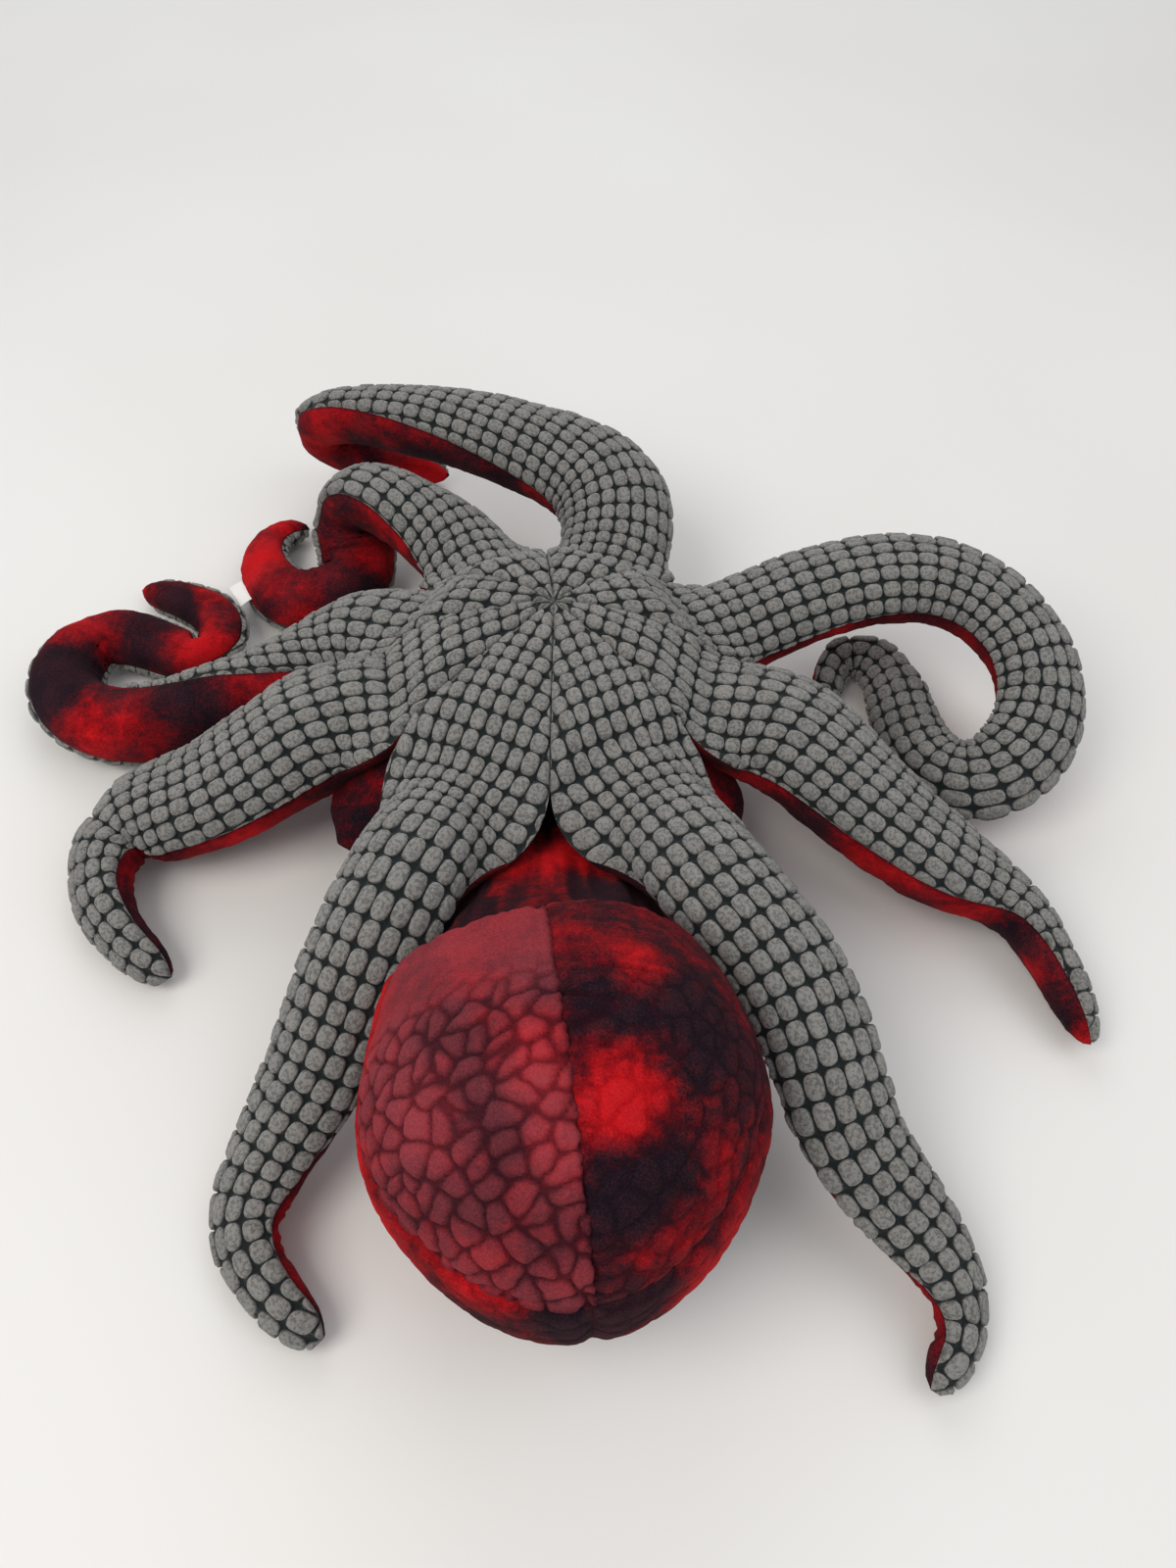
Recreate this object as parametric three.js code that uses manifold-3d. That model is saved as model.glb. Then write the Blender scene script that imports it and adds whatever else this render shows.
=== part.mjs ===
// A big stuffed octopus laid on its back: the grey sucker cloth of its eight arms faces up,
// and its red mantle lies on the floor in front, half under the two front arms.
// Millimetres. X points right, Y away from the viewer and Z up; the floor is z = 0.
import * as THREE from 'three';
import { mergeVertices } from 'three/addons/utils/BufferGeometryUtils.js';
import ManifoldModule from 'manifold-3d';

const { Manifold, Mesh, setup } = await ManifoldModule().then((lib) => {
  lib.setup();
  return lib;
});

// Cloth and clearances
const CLOTH = 3;             // a cover with its pile
const SEAM_GAP = 0.4;        // between two covers at a seam
const FILL_GAP = 0.8;        // between a cover and the filling under it
const ROOT_GAP = 0.4;        // between an arm's root and the crown
const LAY_GAP = 14;          // between the mantle and an arm that lies against it

// The crown, where the arms meet: its hub, where the gores run together, lies behind its middle
const HUB_X = 20;
const HUB_Y = 95;
const CROWN_X = -5;          // the crown's middle, from the hub
const CROWN_Y = -48;
const CROWN_RIM = 125;       // middle to each rim facet
const CROWN_TOP = 152;
const RIM_RISE = 30;         // the rim's top over the arms' middle lines
const RIM_BOTTOM = 50;
const FOOT_SHARE = 0.6;      // the patch that lies on the floor, as a share of the rim
const GORE_ROWS = [0.03, 0.4, 0.72, 0.9, 1];

// The arms
const ROOT_HALF_WIDTH = 45;
const TIP_HALF_WIDTH = 15;
const ROOT_FLATNESS = 0.8;   // half-thickness over half-width
const TIP_FLATNESS = 0.66;
const BEND_ROOM = 0.8;       // share of a bend's radius that its inner side may fill
const ROOT_LEAD = 4;         // straight stretch past the rounded root
const TIP_ROUND = 22;
const FULL_PLACES = [0.2, 0.5, 0.75]; // where a fuller arm has swollen, starts to thin and is plain again
const ARM_FACETS = 4;        // sides of one half of the section
const STEP_LENGTH = 50;      // longest stretch between two sections
const STEP_TURN = 30;        // most degrees an arm turns between two sections

// Each arm: the way it leaves the crown, in degrees from +X, the height of its middle line there,
// how much fuller its first stretch is, then the points it passes, from the hub, as [x, y, lift of its lower side, twist in degrees].
const ARMS = {
  front_left: { leaves: -116, height: 106, full: 1, path: [[-90, -232, 92, 0], [-104, -266, 95, 0],
    [-118, -298, 84, 0], [-134, -332, 62, 0], [-152, -364, 38, -5], [-172, -392, 20, -15],
    [-188, -420, 9, -25], [-194, -448, 6, -35], [-184, -474, 6, -40], [-163, -496, 6, -40],
    [-136, -514, 5, -35]] },
  front_right: { leaves: -60, height: 106, full: 1, path: [[100, -231, 92, 0], [121, -272, 97, 0],
    [143, -314, 92, 0], [163, -358, 80, 0], [184, -400, 60, 0], [210, -434, 35, 5],
    [240, -460, 19, 16], [258, -489, 9, 30], [256, -519, 7, 45], [233, -543, 6, 50]] },
  right_front: { leaves: -12, height: 100, full: 1.25, path: [[192, -102, 56, 8], [228, -136, 40, 16],
    [264, -167, 30, 22], [303, -190, 21, 26], [335, -202, 15, 36], [358, -222, 13, 50],
    [371, -254, 11, 62], [379, -288, 10, 72], [387, -320, 9, 72]] },
  right_rear: { leaves: 25, height: 94, full: 1, path: [[184, 36, 70, 0], [226, 48, 82, 0], [268, 56, 89, 0],
    [312, 58, 90, 0], [355, 44, 83, 0], [388, 10, 71, 0], [400, -35, 55, -5], [388, -78, 38, -14],
    [354, -104, 22, -26], [319, -94, 11, -40], [303, -56, 6, -45], [302, -12, 6, -45], [299, 30, 6, -45],
    [284, 62, 6, -42], [260, 66, 5, -30], [244, 45, 4, -25], [238, 13, 4, -25]] },
  rear_right: { leaves: 71, height: 86, full: 1.22, path: [[56, 146, 56, 0], [49, 184, 66, -4], [22, 214, 75, -12],
    [-26, 238, 82, -24], [-84, 262, 88, -38], [-148, 284, 90, -52], [-210, 304, 87, -66],
    [-243, 318, 70, -74], [-242, 332, 38, -72], [-202, 339, 13, -64], [-120, 335, 6, -56]] },
  rear_left: { leaves: 114, height: 86, full: 1, path: [[-96, 136, 58, -12], [-124, 157, 68, -26],
    [-152, 175, 75, -38], [-180, 192, 72, -46], [-200, 199, 44, -50], [-192, 181, 14, -54],
    [-194, 152, 7, -60], [-212, 132, 6, -64], [-240, 126, 6, -66], [-266, 140, 5, -66],
    [-287, 171, 5, -66], [-295, 207, 5, -66], [-284, 239, 5, -66], [-256, 250, 4, -66]] },
  left_rear: { leaves: 155, height: 92, full: 1, path: [[-188, 20, 42, -10], [-230, 2, 27, -40],
    [-274, -20, 16, -75], [-318, -35, 11, -100], [-362, -38, 9, -125], [-402, -26, 8, -155],
    [-431, 2, 7, -180], [-440, 38, 6, -195], [-428, 70, 6, -200], [-400, 82, 6, -200],
    [-368, 71, 6, -200], [-341, 56, 6, -192], [-318, 60, 6, -172], [-308, 86, 6, -150],
    [-322, 116, 6, -140], [-356, 140, 5, -135], [-404, 158, 4, -135]] },
  left_front: { leaves: 190, height: 100, full: 1.28, path: [[-206, -98, 44, -5], [-246, -117, 27, -7],
    [-286, -128, 16, -8], [-320, -132, 11, -8], [-345, -146, 9, -16], [-354, -172, 9, -30],
    [-348, -201, 8, -40], [-331, -228, 8, -40], [-308, -248, 7, -40], [-284, -264, 6, -40]] },
};

// The mantle: rings along its length as [place, radius], shares of its radius from its middle
const MANTLE_RADIUS = 124;
const MANTLE_X = 13;
const MANTLE_Y = -412;
const MANTLE_TURN = 8;       // degrees its length is turned from the front
const MANTLE_SAG = 0.95;     // height over width
const MANTLE_FLAT = 0.5;     // how far the floor flattens it
const MANTLE_SIDES = 20;
const MANTLE_RINGS = [[-1.01, 0.1], [-0.93, 0.4], [-0.74, 0.68], [-0.45, 0.9], [-0.1, 1],
  [0.25, 0.98], [0.55, 0.86], [0.74, 0.73], [0.86, 0.63]];
const CROSS_SEAM = 0.26;     // height of the level seam over the middle, as a share of the radius

// The gathered neck: stations as [share of the way, half-width, half-height, middle height]
const NECK_OVERLAP = 60;     // how far it reaches under the crown before it is cut to it
const NECK_SIDES = 14;
const FRONT_LIFT = 40;       // degrees the front arms swing up, clear of it
const LIFT_STEPS = 6;
const NECK_RINGS = [[0, 62, 40, 44], [0.45, 66, 45, 50], [0.75, 72, 56, 72], [1, 74, 68, 108]];

// The sewn-in label on the rear left arm
const LABEL = { along: 30, out: 11, thick: 1, x: -276, y: 156 };

const RED = 0x8c1018;
const GREY = 0x7d7b77;
const WHITE = 0xf2f0ea;
const FIBRE = 0xe8e6e0;

const object = new THREE.Group();
object.name = 'stuffed_octopus';

function add(name, geometry, color) {
  const material = new THREE.MeshStandardMaterial({ color, roughness: 0.95 });
  const mesh = new THREE.Mesh(geometry, material);
  mesh.name = name;
  object.add(mesh);
}

// A closed skin over rings of equal length; capCorners lists one end's triangles by ring place.
// A ring that runs back along itself from turnBack on has its squares split to match.
function loft(rings, capCorners, turnBack = Infinity) {
  const count = rings[0].length;
  const corners = [];
  for (let i = 0; i + 1 < rings.length; i += 1) {
    for (let j = 0; j < count; j += 1) {
      const a = i * count + j;
      const b = i * count + ((j + 1) % count);
      if (j < turnBack) corners.push(a, b, b + count, a, b + count, a + count);
      else corners.push(a, b, a + count, b, b + count, a + count);
    }
  }
  const last = (rings.length - 1) * count;
  for (let i = 0; i < capCorners.length; i += 3) {
    const [a, b, c] = capCorners.slice(i, i + 3);
    corners.push(a, c, b, last + a, last + b, last + c);
  }
  const geometry = new THREE.BufferGeometry().setFromPoints(rings.flat());
  geometry.setIndex(volumeOf(rings.flat(), corners) < 0 ? corners.reverse() : corners);
  return geometry;
}

function volumeOf(points, corners) {
  let sum = 0;
  for (let i = 0; i < corners.length; i += 3) {
    const [a, b, c] = corners.slice(i, i + 3).map((k) => points[k]);
    sum += a.dot(b.clone().cross(c));
  }
  return sum;
}

// End triangles of a round section, and of a half shell given as an outer then an inner arc
function fanCap(count) {
  const corners = [];
  for (let i = 1; i + 1 < count; i += 1) corners.push(0, i, i + 1);
  return corners;
}

function arcCap(facets) {
  const corners = [];
  const top = 2 * facets + 1;
  for (let i = 0; i < facets; i += 1) corners.push(i, i + 1, top - i - 1, i, top - i - 1, top - i);
  return corners;
}

function toSolid(geometry) {
  const merged = mergeVertices(geometry, 1e-4);
  return new Manifold(new Mesh({
    numProp: 3,
    vertProperties: Float32Array.from(merged.attributes.position.array),
    triVerts: Uint32Array.from(merged.index.array),
  }));
}

function toGeometry(solid) {
  const mesh = solid.getMesh();
  const geometry = new THREE.BufferGeometry();
  geometry.setAttribute('position', new THREE.BufferAttribute(Float32Array.from(mesh.vertProperties), 3));
  geometry.setIndex(Array.from(mesh.triVerts));
  return geometry;
}

const heading = (degrees) => {
  const angle = THREE.MathUtils.degToRad(degrees);
  return new THREE.Vector3(Math.cos(angle), Math.sin(angle), 0);
};
const hub = new THREE.Vector3(HUB_X, HUB_Y, 0);
const crown = new THREE.Vector3(HUB_X + CROWN_X, HUB_Y + CROWN_Y, 0);
const mantleHeight = MANTLE_RADIUS * MANTLE_SAG - MANTLE_FLAT;
const mantleMiddle = new THREE.Vector3(HUB_X + MANTLE_X, HUB_Y + MANTLE_Y, mantleHeight);

// Half-width of an arm at a share of its length
function halfWidth(share, full) {
  const taper = 0.25 * share + 0.25 * share ** 2 + 0.5 * share ** 4;
  const [rises, stays, ends] = FULL_PLACES;
  const swell = THREE.MathUtils.smoothstep(share, 0, rises) - THREE.MathUtils.smoothstep(share, stays, ends);
  return (ROOT_HALF_WIDTH + (TIP_HALF_WIDTH - ROOT_HALF_WIDTH) * taper) * (1 + (full - 1) * swell);
}

const flatness = (share) => THREE.MathUtils.lerp(ROOT_FLATNESS, TIP_FLATNESS, share);
const rootRound = ROOT_HALF_WIDTH * ROOT_FLATNESS;

// A soft line that starts and ends at the first and last point and is drawn towards the rest
class SoftLine extends THREE.Curve {
  constructor(points) {
    super();
    const before = points[0].clone().multiplyScalar(2).sub(points[1]);
    const after = points[points.length - 1].clone().multiplyScalar(2).sub(points[points.length - 2]);
    this.pulls = [before, ...points, after];
    this.arcLengthDivisions = 400;
  }

  getPoint(t, target = new THREE.Vector3()) {
    const spans = this.pulls.length - 3;
    const span = Math.min(spans - 1, Math.floor(t * spans));
    const k = t * spans - span;
    const weights = [(1 - k) ** 3, 3 * k ** 3 - 6 * k ** 2 + 4, -3 * k ** 3 + 3 * k ** 2 + 3 * k + 1, k ** 3];
    target.set(0, 0, 0);
    weights.forEach((weight, i) => target.addScaledVector(this.pulls[span + i], weight / 6));
    return target;
  }
}

// The arm's middle line: out of the rim straight and level, then along its points,
// each kept clear of the mantle.
function armLine(arm) {
  const out = heading(arm.leaves);
  const start = crown.clone().addScaledVector(out, CROWN_RIM + ROOT_GAP).setZ(arm.height);
  const lead = start.clone().addScaledVector(out, rootRound + ROOT_LEAD);
  const rough = [start, lead, ...arm.path.map(([x, y, lift]) => new THREE.Vector3(HUB_X + x, HUB_Y + y, lift))];
  const run = [0];
  for (let i = 1; i < rough.length; i += 1) run.push(run[i - 1] + rough[i].distanceTo(rough[i - 1]));
  const points = rough.map((point, i) => {
    if (i < 2) return point;
    const share = run[i] / run[run.length - 1];
    const width = halfWidth(share, arm.full);
    const raised = point.clone().setZ(point.z + width * flatness(share));
    const away = raised.clone().sub(mantleMiddle);
    const least = MANTLE_RADIUS + width + LAY_GAP;
    return away.length() < least ? mantleMiddle.clone().add(away.setLength(least)) : raised;
  });
  const twists = [0, 0, ...arm.path.map((p) => p[3])];
  return { curve: new SoftLine(points), twists };
}

// Sections along an arm: closer together where it turns, each with its middle, its sideways
// and face-up directions and its half sizes, pinched on the inside of a tight bend.
function armSections(arm) {
  const { curve, twists } = armLine(arm);
  const length = curve.getLength();
  const fine = 300;
  const measure = [0];
  const twistAt = (place) => {
    const spot = curve.getUtoTmapping(place) * (twists.length - 1);
    const low = Math.min(twists.length - 2, Math.floor(spot));
    return THREE.MathUtils.lerp(twists[low], twists[low + 1], spot - low);
  };
  for (let i = 1; i <= fine; i += 1) {
    const ends = [(i - 1) / fine, i / fine];
    const [before, after] = ends.map((place) => curve.getTangentAt(place));
    const bendTurn = THREE.MathUtils.radToDeg(after.angleTo(before));
    const twistTurn = Math.abs(twistAt(ends[1]) - twistAt(ends[0]));
    const step = Math.max(length / fine / STEP_LENGTH, (bendTurn + twistTurn) / STEP_TURN);
    measure.push(measure[i - 1] + step);
  }
  const rootEnd = rootRound / length;
  const tipStart = 1 - TIP_ROUND / length;
  const places = [0.005, 0.35].map((share) => share * rootEnd);
  const from = measure[Math.round(rootEnd * fine)];
  const to = measure[Math.round(tipStart * fine)];
  const count = Math.ceil(to - from);
  for (let i = 0; i <= count; i += 1) {
    const want = from + ((to - from) * i) / count;
    const k = Math.min(fine - 1, measure.findIndex((m) => m >= want - 1e-9));
    places.push(i === 0 ? rootEnd : i === count ? tipStart : k / fine);
  }
  [0.6, 0.93].forEach((share) => places.push(tipStart + (1 - tipStart) * share));

  const sections = [];
  let face = new THREE.Vector3(0, 0, 1);
  for (const place of places) {
    const tangent = curve.getTangentAt(place);
    face = face.clone().addScaledVector(tangent, -face.dot(tangent)).normalize();
    const along = place * length;
    const rootShare = Math.min(1, along / rootRound);
    const tipShare = Math.max(0, (along - length + TIP_ROUND) / TIP_ROUND);
    const round = Math.sqrt(1 - (1 - rootShare) ** 2) * Math.sqrt(1 - tipShare ** 2);
    const turned = face.clone().applyAxisAngle(tangent, -THREE.MathUtils.degToRad(twistAt(place)));
    const side = tangent.clone().cross(turned);
    const near = [place - 0.01, place + 0.01].map((k) => THREE.MathUtils.clamp(k, 0, 1));
    const bend = curve.getTangentAt(near[1]).sub(curve.getTangentAt(near[0]))
      .divideScalar((near[1] - near[0]) * length);
    const width = halfWidth(place, arm.full);
    const thickness = width * flatness(place);
    const inner = Math.max(BEND_ROOM, Math.hypot(bend.dot(side) * width, bend.dot(turned) * thickness));
    const pinch = (way) => (BEND_ROOM / inner) ** Math.abs(bend.clone().normalize().dot(way));
    sections.push({
      middle: curve.getPointAt(place),
      face: turned,
      side,
      width: width * pinch(side) * round,
      thickness: thickness * pinch(turned) * round,
    });
  }
  return sections;
}

// A point of a section at an angle from its side, inset from its outer line
function sectionPoint({ middle, face, side, width, thickness }, angle, inset, shift) {
  const across = Math.max(1.2, width - inset) * Math.cos(angle);
  const up = Math.max(1, thickness - inset) * Math.sin(angle) + shift;
  return middle.clone().addScaledVector(side, across).addScaledVector(face, up);
}

function halfCover(sections, upper) {
  const start = upper ? 0 : -Math.PI;
  const shift = (upper ? SEAM_GAP : -SEAM_GAP) / 2;
  const rings = sections.map((section) => {
    const arc = (inset, k) => sectionPoint(section, start + (Math.PI * k) / ARM_FACETS, inset, shift);
    const places = Array.from({ length: ARM_FACETS + 1 }, (_, k) => k);
    return [...places.map((k) => arc(0, k)), ...places.reverse().map((k) => arc(CLOTH, k))];
  });
  return loft(rings, arcCap(ARM_FACETS), ARM_FACETS + 1);
}

function roundCore(sections, inset) {
  const sides = 2 * ARM_FACETS;
  const rings = sections.map((section) => Array.from({ length: sides },
    (_, k) => sectionPoint(section, (2 * Math.PI * k) / sides, inset, 0)));
  return loft(rings, fanCap(sides));
}

// The crown: an eight-sided cushion with one rim facet to each arm, higher where they are high
const order = Object.keys(ARMS).sort((a, b) => ARMS[a].leaves - ARMS[b].leaves);
const spokes = order.map((name, i) => {
  const arm = ARMS[name];
  const next = ARMS[order[(i + 1) % order.length]];
  const half = (next.leaves - arm.leaves + (next.leaves < arm.leaves ? 360 : 0)) / 2;
  const reach = 1 / Math.cos(THREE.MathUtils.degToRad(half));
  return { way: heading(arm.leaves + half).multiplyScalar(reach), top: (arm.height + next.height) / 2 + RIM_RISE };
});
const rimPoint = ({ way }, inset) => crown.clone().addScaledVector(way, CROWN_RIM - inset);
const flatRing = (inset, share, height) => spokes
  .map((spoke) => crown.clone().lerp(rimPoint(spoke, inset), share).setZ(height));
const rimRing = (inset, drop) => spokes.map((spoke) => rimPoint(spoke, inset).setZ(spoke.top - drop));
const domePoint = (spoke, inset, share) => hub.clone().lerp(rimPoint(spoke, inset), share)
  .setZ(THREE.MathUtils.lerp(CROWN_TOP, spoke.top, share ** 4));
const crownCap = fanCap(order.length);
const coverDrop = CLOTH + SEAM_GAP;

function crownCover(grow) {
  return [flatRing(-grow, FOOT_SHARE, -grow), flatRing(-grow, 1, RIM_BOTTOM - grow), rimRing(-grow, coverDrop - grow)];
}

const coverRings = [...crownCover(0), ...crownCover(-CLOTH).reverse()];
coverRings[3] = rimRing(CLOTH, coverDrop);
add('crown_back_cover', loft(coverRings, crownCap), RED);

const fillInset = CLOTH + FILL_GAP;
const fillRings = crownCover(-fillInset).slice(0, 2);
[...GORE_ROWS].reverse().forEach((share) => {
  fillRings.push(spokes.map((spoke) => {
    const point = domePoint(spoke, fillInset, share);
    return point.setZ(point.z - coverDrop - FILL_GAP);
  }));
});
add('crown_filling', loft(fillRings, crownCap), FIBRE);

order.forEach((name, i) => {
  const left = spokes[(i + spokes.length - 1) % spokes.length];
  const right = spokes[i];
  const across = rimPoint(right, 0).sub(rimPoint(left, 0)).setLength(SEAM_GAP / 2);
  const rings = GORE_ROWS.map((share) => {
    const ends = [domePoint(left, 0, share).add(across), domePoint(right, 0, share).sub(across)];
    const top = [ends[0], ends[0].clone().lerp(ends[1], 0.5), ends[1]];
    const low = top.map((point) => point.clone().setZ(point.z - CLOTH));
    return [...top, ...low.reverse()];
  });
  add(`gore_${name}`, loft(rings, arcCap(2)), GREY);
});

// The mantle: four covers cut from one bag by an upright and a level seam, over a filling
const turnMantle = new THREE.Matrix4().makeRotationZ(THREE.MathUtils.degToRad(MANTLE_TURN));
const mantleFrame = new THREE.Matrix4().makeTranslation(mantleMiddle.x, mantleMiddle.y, mantleMiddle.z)
  .multiply(turnMantle);

function mantleBag(inset) {
  const scale = (MANTLE_RADIUS - inset) / MANTLE_RADIUS;
  const rings = MANTLE_RINGS.map(([place, radius]) => Array.from({ length: MANTLE_SIDES }, (_, k) => {
    const angle = (2 * Math.PI * k) / MANTLE_SIDES;
    return new THREE.Vector3(radius * Math.cos(angle), place, radius * MANTLE_SAG * Math.sin(angle))
      .multiplyScalar(MANTLE_RADIUS * scale).applyMatrix4(mantleFrame);
  }));
  return toSolid(loft(rings, fanCap(MANTLE_SIDES)));
}

const aboveFloor = (solid, height) => solid.trimByPlane([0, 0, 1], height);
const mantleCover = aboveFloor(mantleBag(0), 0).subtract(mantleBag(CLOTH));
const mantleCut = (x, level) => {
  const reach = 2 * MANTLE_RADIUS;
  const box = new THREE.BoxGeometry(reach, 2 * reach, reach);
  box.translate((x * (reach + SEAM_GAP)) / 2, 0, CROSS_SEAM * MANTLE_RADIUS + (level * (reach + SEAM_GAP)) / 2);
  box.deleteAttribute('uv').deleteAttribute('normal').applyMatrix4(mantleFrame);
  return toGeometry(mantleCover.intersect(toSolid(box)));
};
add('mantle_upper_left', mantleCut(-1, 1), RED);
add('mantle_upper_right', mantleCut(1, 1), RED);
add('mantle_lower_left', mantleCut(-1, -1), RED);
add('mantle_lower_right', mantleCut(1, -1), RED);
add('mantle_filling', toGeometry(mantleBag(CLOTH + FILL_GAP)), FIBRE);

// The arms: a sucker cover above, a back cover below and the filling between them
const sections = {};
for (const name of Object.keys(ARMS)) {
  sections[name] = armSections(ARMS[name]);
  add(`${name}_suckers`, halfCover(sections[name], true), GREY);
  add(`${name}_back`, halfCover(sections[name], false), RED);
  add(`${name}_filling`, roundCore(sections[name].slice(1, -1), CLOTH + FILL_GAP), FIBRE);
}

// The neck runs from under the crown to the mantle's open end, cut clear of what lies on it
const neckEnd = new THREE.Vector3(0, MANTLE_RINGS[MANTLE_RINGS.length - 1][0] * MANTLE_RADIUS + SEAM_GAP, 0)
  .applyMatrix4(mantleFrame);
const neckStart = crown.clone().add(new THREE.Vector3(0, NECK_OVERLAP - CROWN_RIM, 0));
const neckRings = NECK_RINGS.map(([share, wide, high, height], i) => {
  const middle = neckStart.clone().lerp(neckEnd, share).setZ(height);
  const across = heading(share * MANTLE_TURN);
  return Array.from({ length: NECK_SIDES }, (_, k) => {
    const angle = (2 * Math.PI * k) / NECK_SIDES;
    return middle.clone().addScaledVector(across, wide * Math.cos(angle))
      .add(new THREE.Vector3(0, 0, high * Math.sin(angle)));
  });
});
const inTheWay = ['front_left', 'front_right'].flatMap((name) => {
  const reach = CROWN_RIM + ROOT_GAP + rootRound;
  const root = crown.clone().addScaledVector(heading(ARMS[name].leaves), reach).setZ(ARMS[name].height);
  const hinge = heading(ARMS[name].leaves - 90);
  return Array.from({ length: LIFT_STEPS + 1 }, (_, step) => {
    const swing = THREE.MathUtils.degToRad((FRONT_LIFT * step) / LIFT_STEPS);
    const arm = roundCore(sections[name], -SEAM_GAP * 2);
    arm.translate(-root.x, -root.y, -root.z);
    arm.applyMatrix4(new THREE.Matrix4().makeRotationAxis(hinge, swing));
    return toSolid(arm.translate(root.x, root.y, root.z));
  });
});
const crownBlock = toSolid(loft(crownCover(SEAM_GAP), crownCap));
const neck = Manifold.difference([toSolid(loft(neckRings, fanCap(NECK_SIDES))), crownBlock, ...inTheWay]);
add('neck', toGeometry(aboveFloor(neck, 1)), RED);

// The label stands out of the seam on the outside of the rear left arm's curl
const labelSpot = hub.clone().add(new THREE.Vector3(LABEL.x, LABEL.y, 0));
const labelDistance = ({ middle }) => middle.clone().setZ(0).distanceTo(labelSpot);
const labelSection = [...sections.rear_left].sort((a, b) => labelDistance(a) - labelDistance(b))[0];
const outward = labelSection.side.clone().setZ(0).normalize();
outward.multiplyScalar(Math.sign(outward.dot(labelSection.middle.clone().sub(hub))));
const up = new THREE.Vector3(0, 0, 1);
const labelReach = labelSection.width + LABEL.out;
const label = new THREE.BoxGeometry(labelReach, LABEL.along, LABEL.thick);
label.deleteAttribute('uv').deleteAttribute('normal');
label.applyMatrix4(new THREE.Matrix4().makeBasis(outward, up.clone().cross(outward), up)
  .setPosition(labelSection.middle.clone().addScaledVector(outward, labelReach / 2)));
const labelArm = toSolid(roundCore(sections.rear_left, -SEAM_GAP));
add('care_label', toGeometry(toSolid(label).subtract(labelArm)), WHITE);

export default object;
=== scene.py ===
import math

import bpy
import numpy as np
from bpy.props import FloatProperty, FloatVectorProperty, PointerProperty
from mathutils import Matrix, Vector, kdtree, noise


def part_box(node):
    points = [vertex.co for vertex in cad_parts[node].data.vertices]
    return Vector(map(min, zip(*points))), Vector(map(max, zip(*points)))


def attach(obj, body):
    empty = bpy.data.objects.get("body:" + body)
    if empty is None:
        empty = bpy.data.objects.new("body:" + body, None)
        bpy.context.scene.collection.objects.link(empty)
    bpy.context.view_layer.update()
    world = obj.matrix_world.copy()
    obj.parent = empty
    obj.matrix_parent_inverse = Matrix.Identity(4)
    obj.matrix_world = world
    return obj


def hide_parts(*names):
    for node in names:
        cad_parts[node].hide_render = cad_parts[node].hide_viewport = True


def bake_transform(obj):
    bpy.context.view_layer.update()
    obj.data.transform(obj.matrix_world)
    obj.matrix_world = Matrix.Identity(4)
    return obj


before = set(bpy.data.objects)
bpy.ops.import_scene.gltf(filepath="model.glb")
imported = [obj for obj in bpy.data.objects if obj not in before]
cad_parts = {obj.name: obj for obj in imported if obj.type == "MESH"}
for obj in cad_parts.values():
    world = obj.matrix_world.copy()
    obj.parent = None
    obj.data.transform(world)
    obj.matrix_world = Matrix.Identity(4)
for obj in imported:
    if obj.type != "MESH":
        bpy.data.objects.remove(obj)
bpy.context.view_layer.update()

bl_info = {
    "name": "Stuffed Octopus",
    "version": (1, 0, 0),
    "blender": (4, 5, 0),
    "location": "View3D > Sidebar > Octopus",
    "description": "Dresses a plush octopus that lies on its back around its packed frame",
    "category": "Object",
}

MM = 0.001
UP = np.array([0, 0, 1.0])
FLOOR_GAP = 0.3 * MM    # under the lowest cloth

# The crown: its hub, where the gores run together, lies behind its middle
HUB = np.array([20.0, 95.0, 0.0]) * MM
CROWN = HUB + np.array([-5.0, -48.0, 0.0]) * MM
CROWN_RIM = 125 * MM
CROWN_TOP = 152 * MM
RIM_RISE = 30 * MM

# The arms' sections
ROOT_HALF_WIDTH = 45 * MM
TIP_HALF_WIDTH = 15 * MM
ROOT_FLATNESS = 0.8
TIP_FLATNESS = 0.66
ROOT_LEAD = 4 * MM
ROOT_GAP = 0.4 * MM
TIP_ROUND = 22 * MM
BEND_ROOM = 0.84
LAY_GAP = 8 * MM
WEBS = {"front_left": -1, "front_right": 1}    # the side on which an arm is webbed to its neighbour
LOOP_SLIM = {"left_rear": 0.13}    # share by which a looped arm is pulled thin in its middle
GROUND_INSET = 3.5 * MM    # of the pebbles' ground under the arm's outer line
BACK_INSET = 2.5 * MM    # of the red skin under that line
CAP_SWELL = 14 * MM    # of a gore between its seams

# The mantle
MANTLE_RADIUS = 124 * MM
MANTLE_TURN = math.radians(8)
MANTLE_SAG = 0.95
MANTLE_MIDDLE = HUB + np.array([13.0, -412.0, 0.0]) * MM
MANTLE_MIDDLE[2] = MANTLE_RADIUS * MANTLE_SAG - 0.5 * MM
CROSS_SEAM = 0.26 * MANTLE_RADIUS
NECK_PLACE = 0.86 * MANTLE_RADIUS
NECK_TUCK = 15 * MM    # how far the neck's cloth goes into the bag

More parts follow.
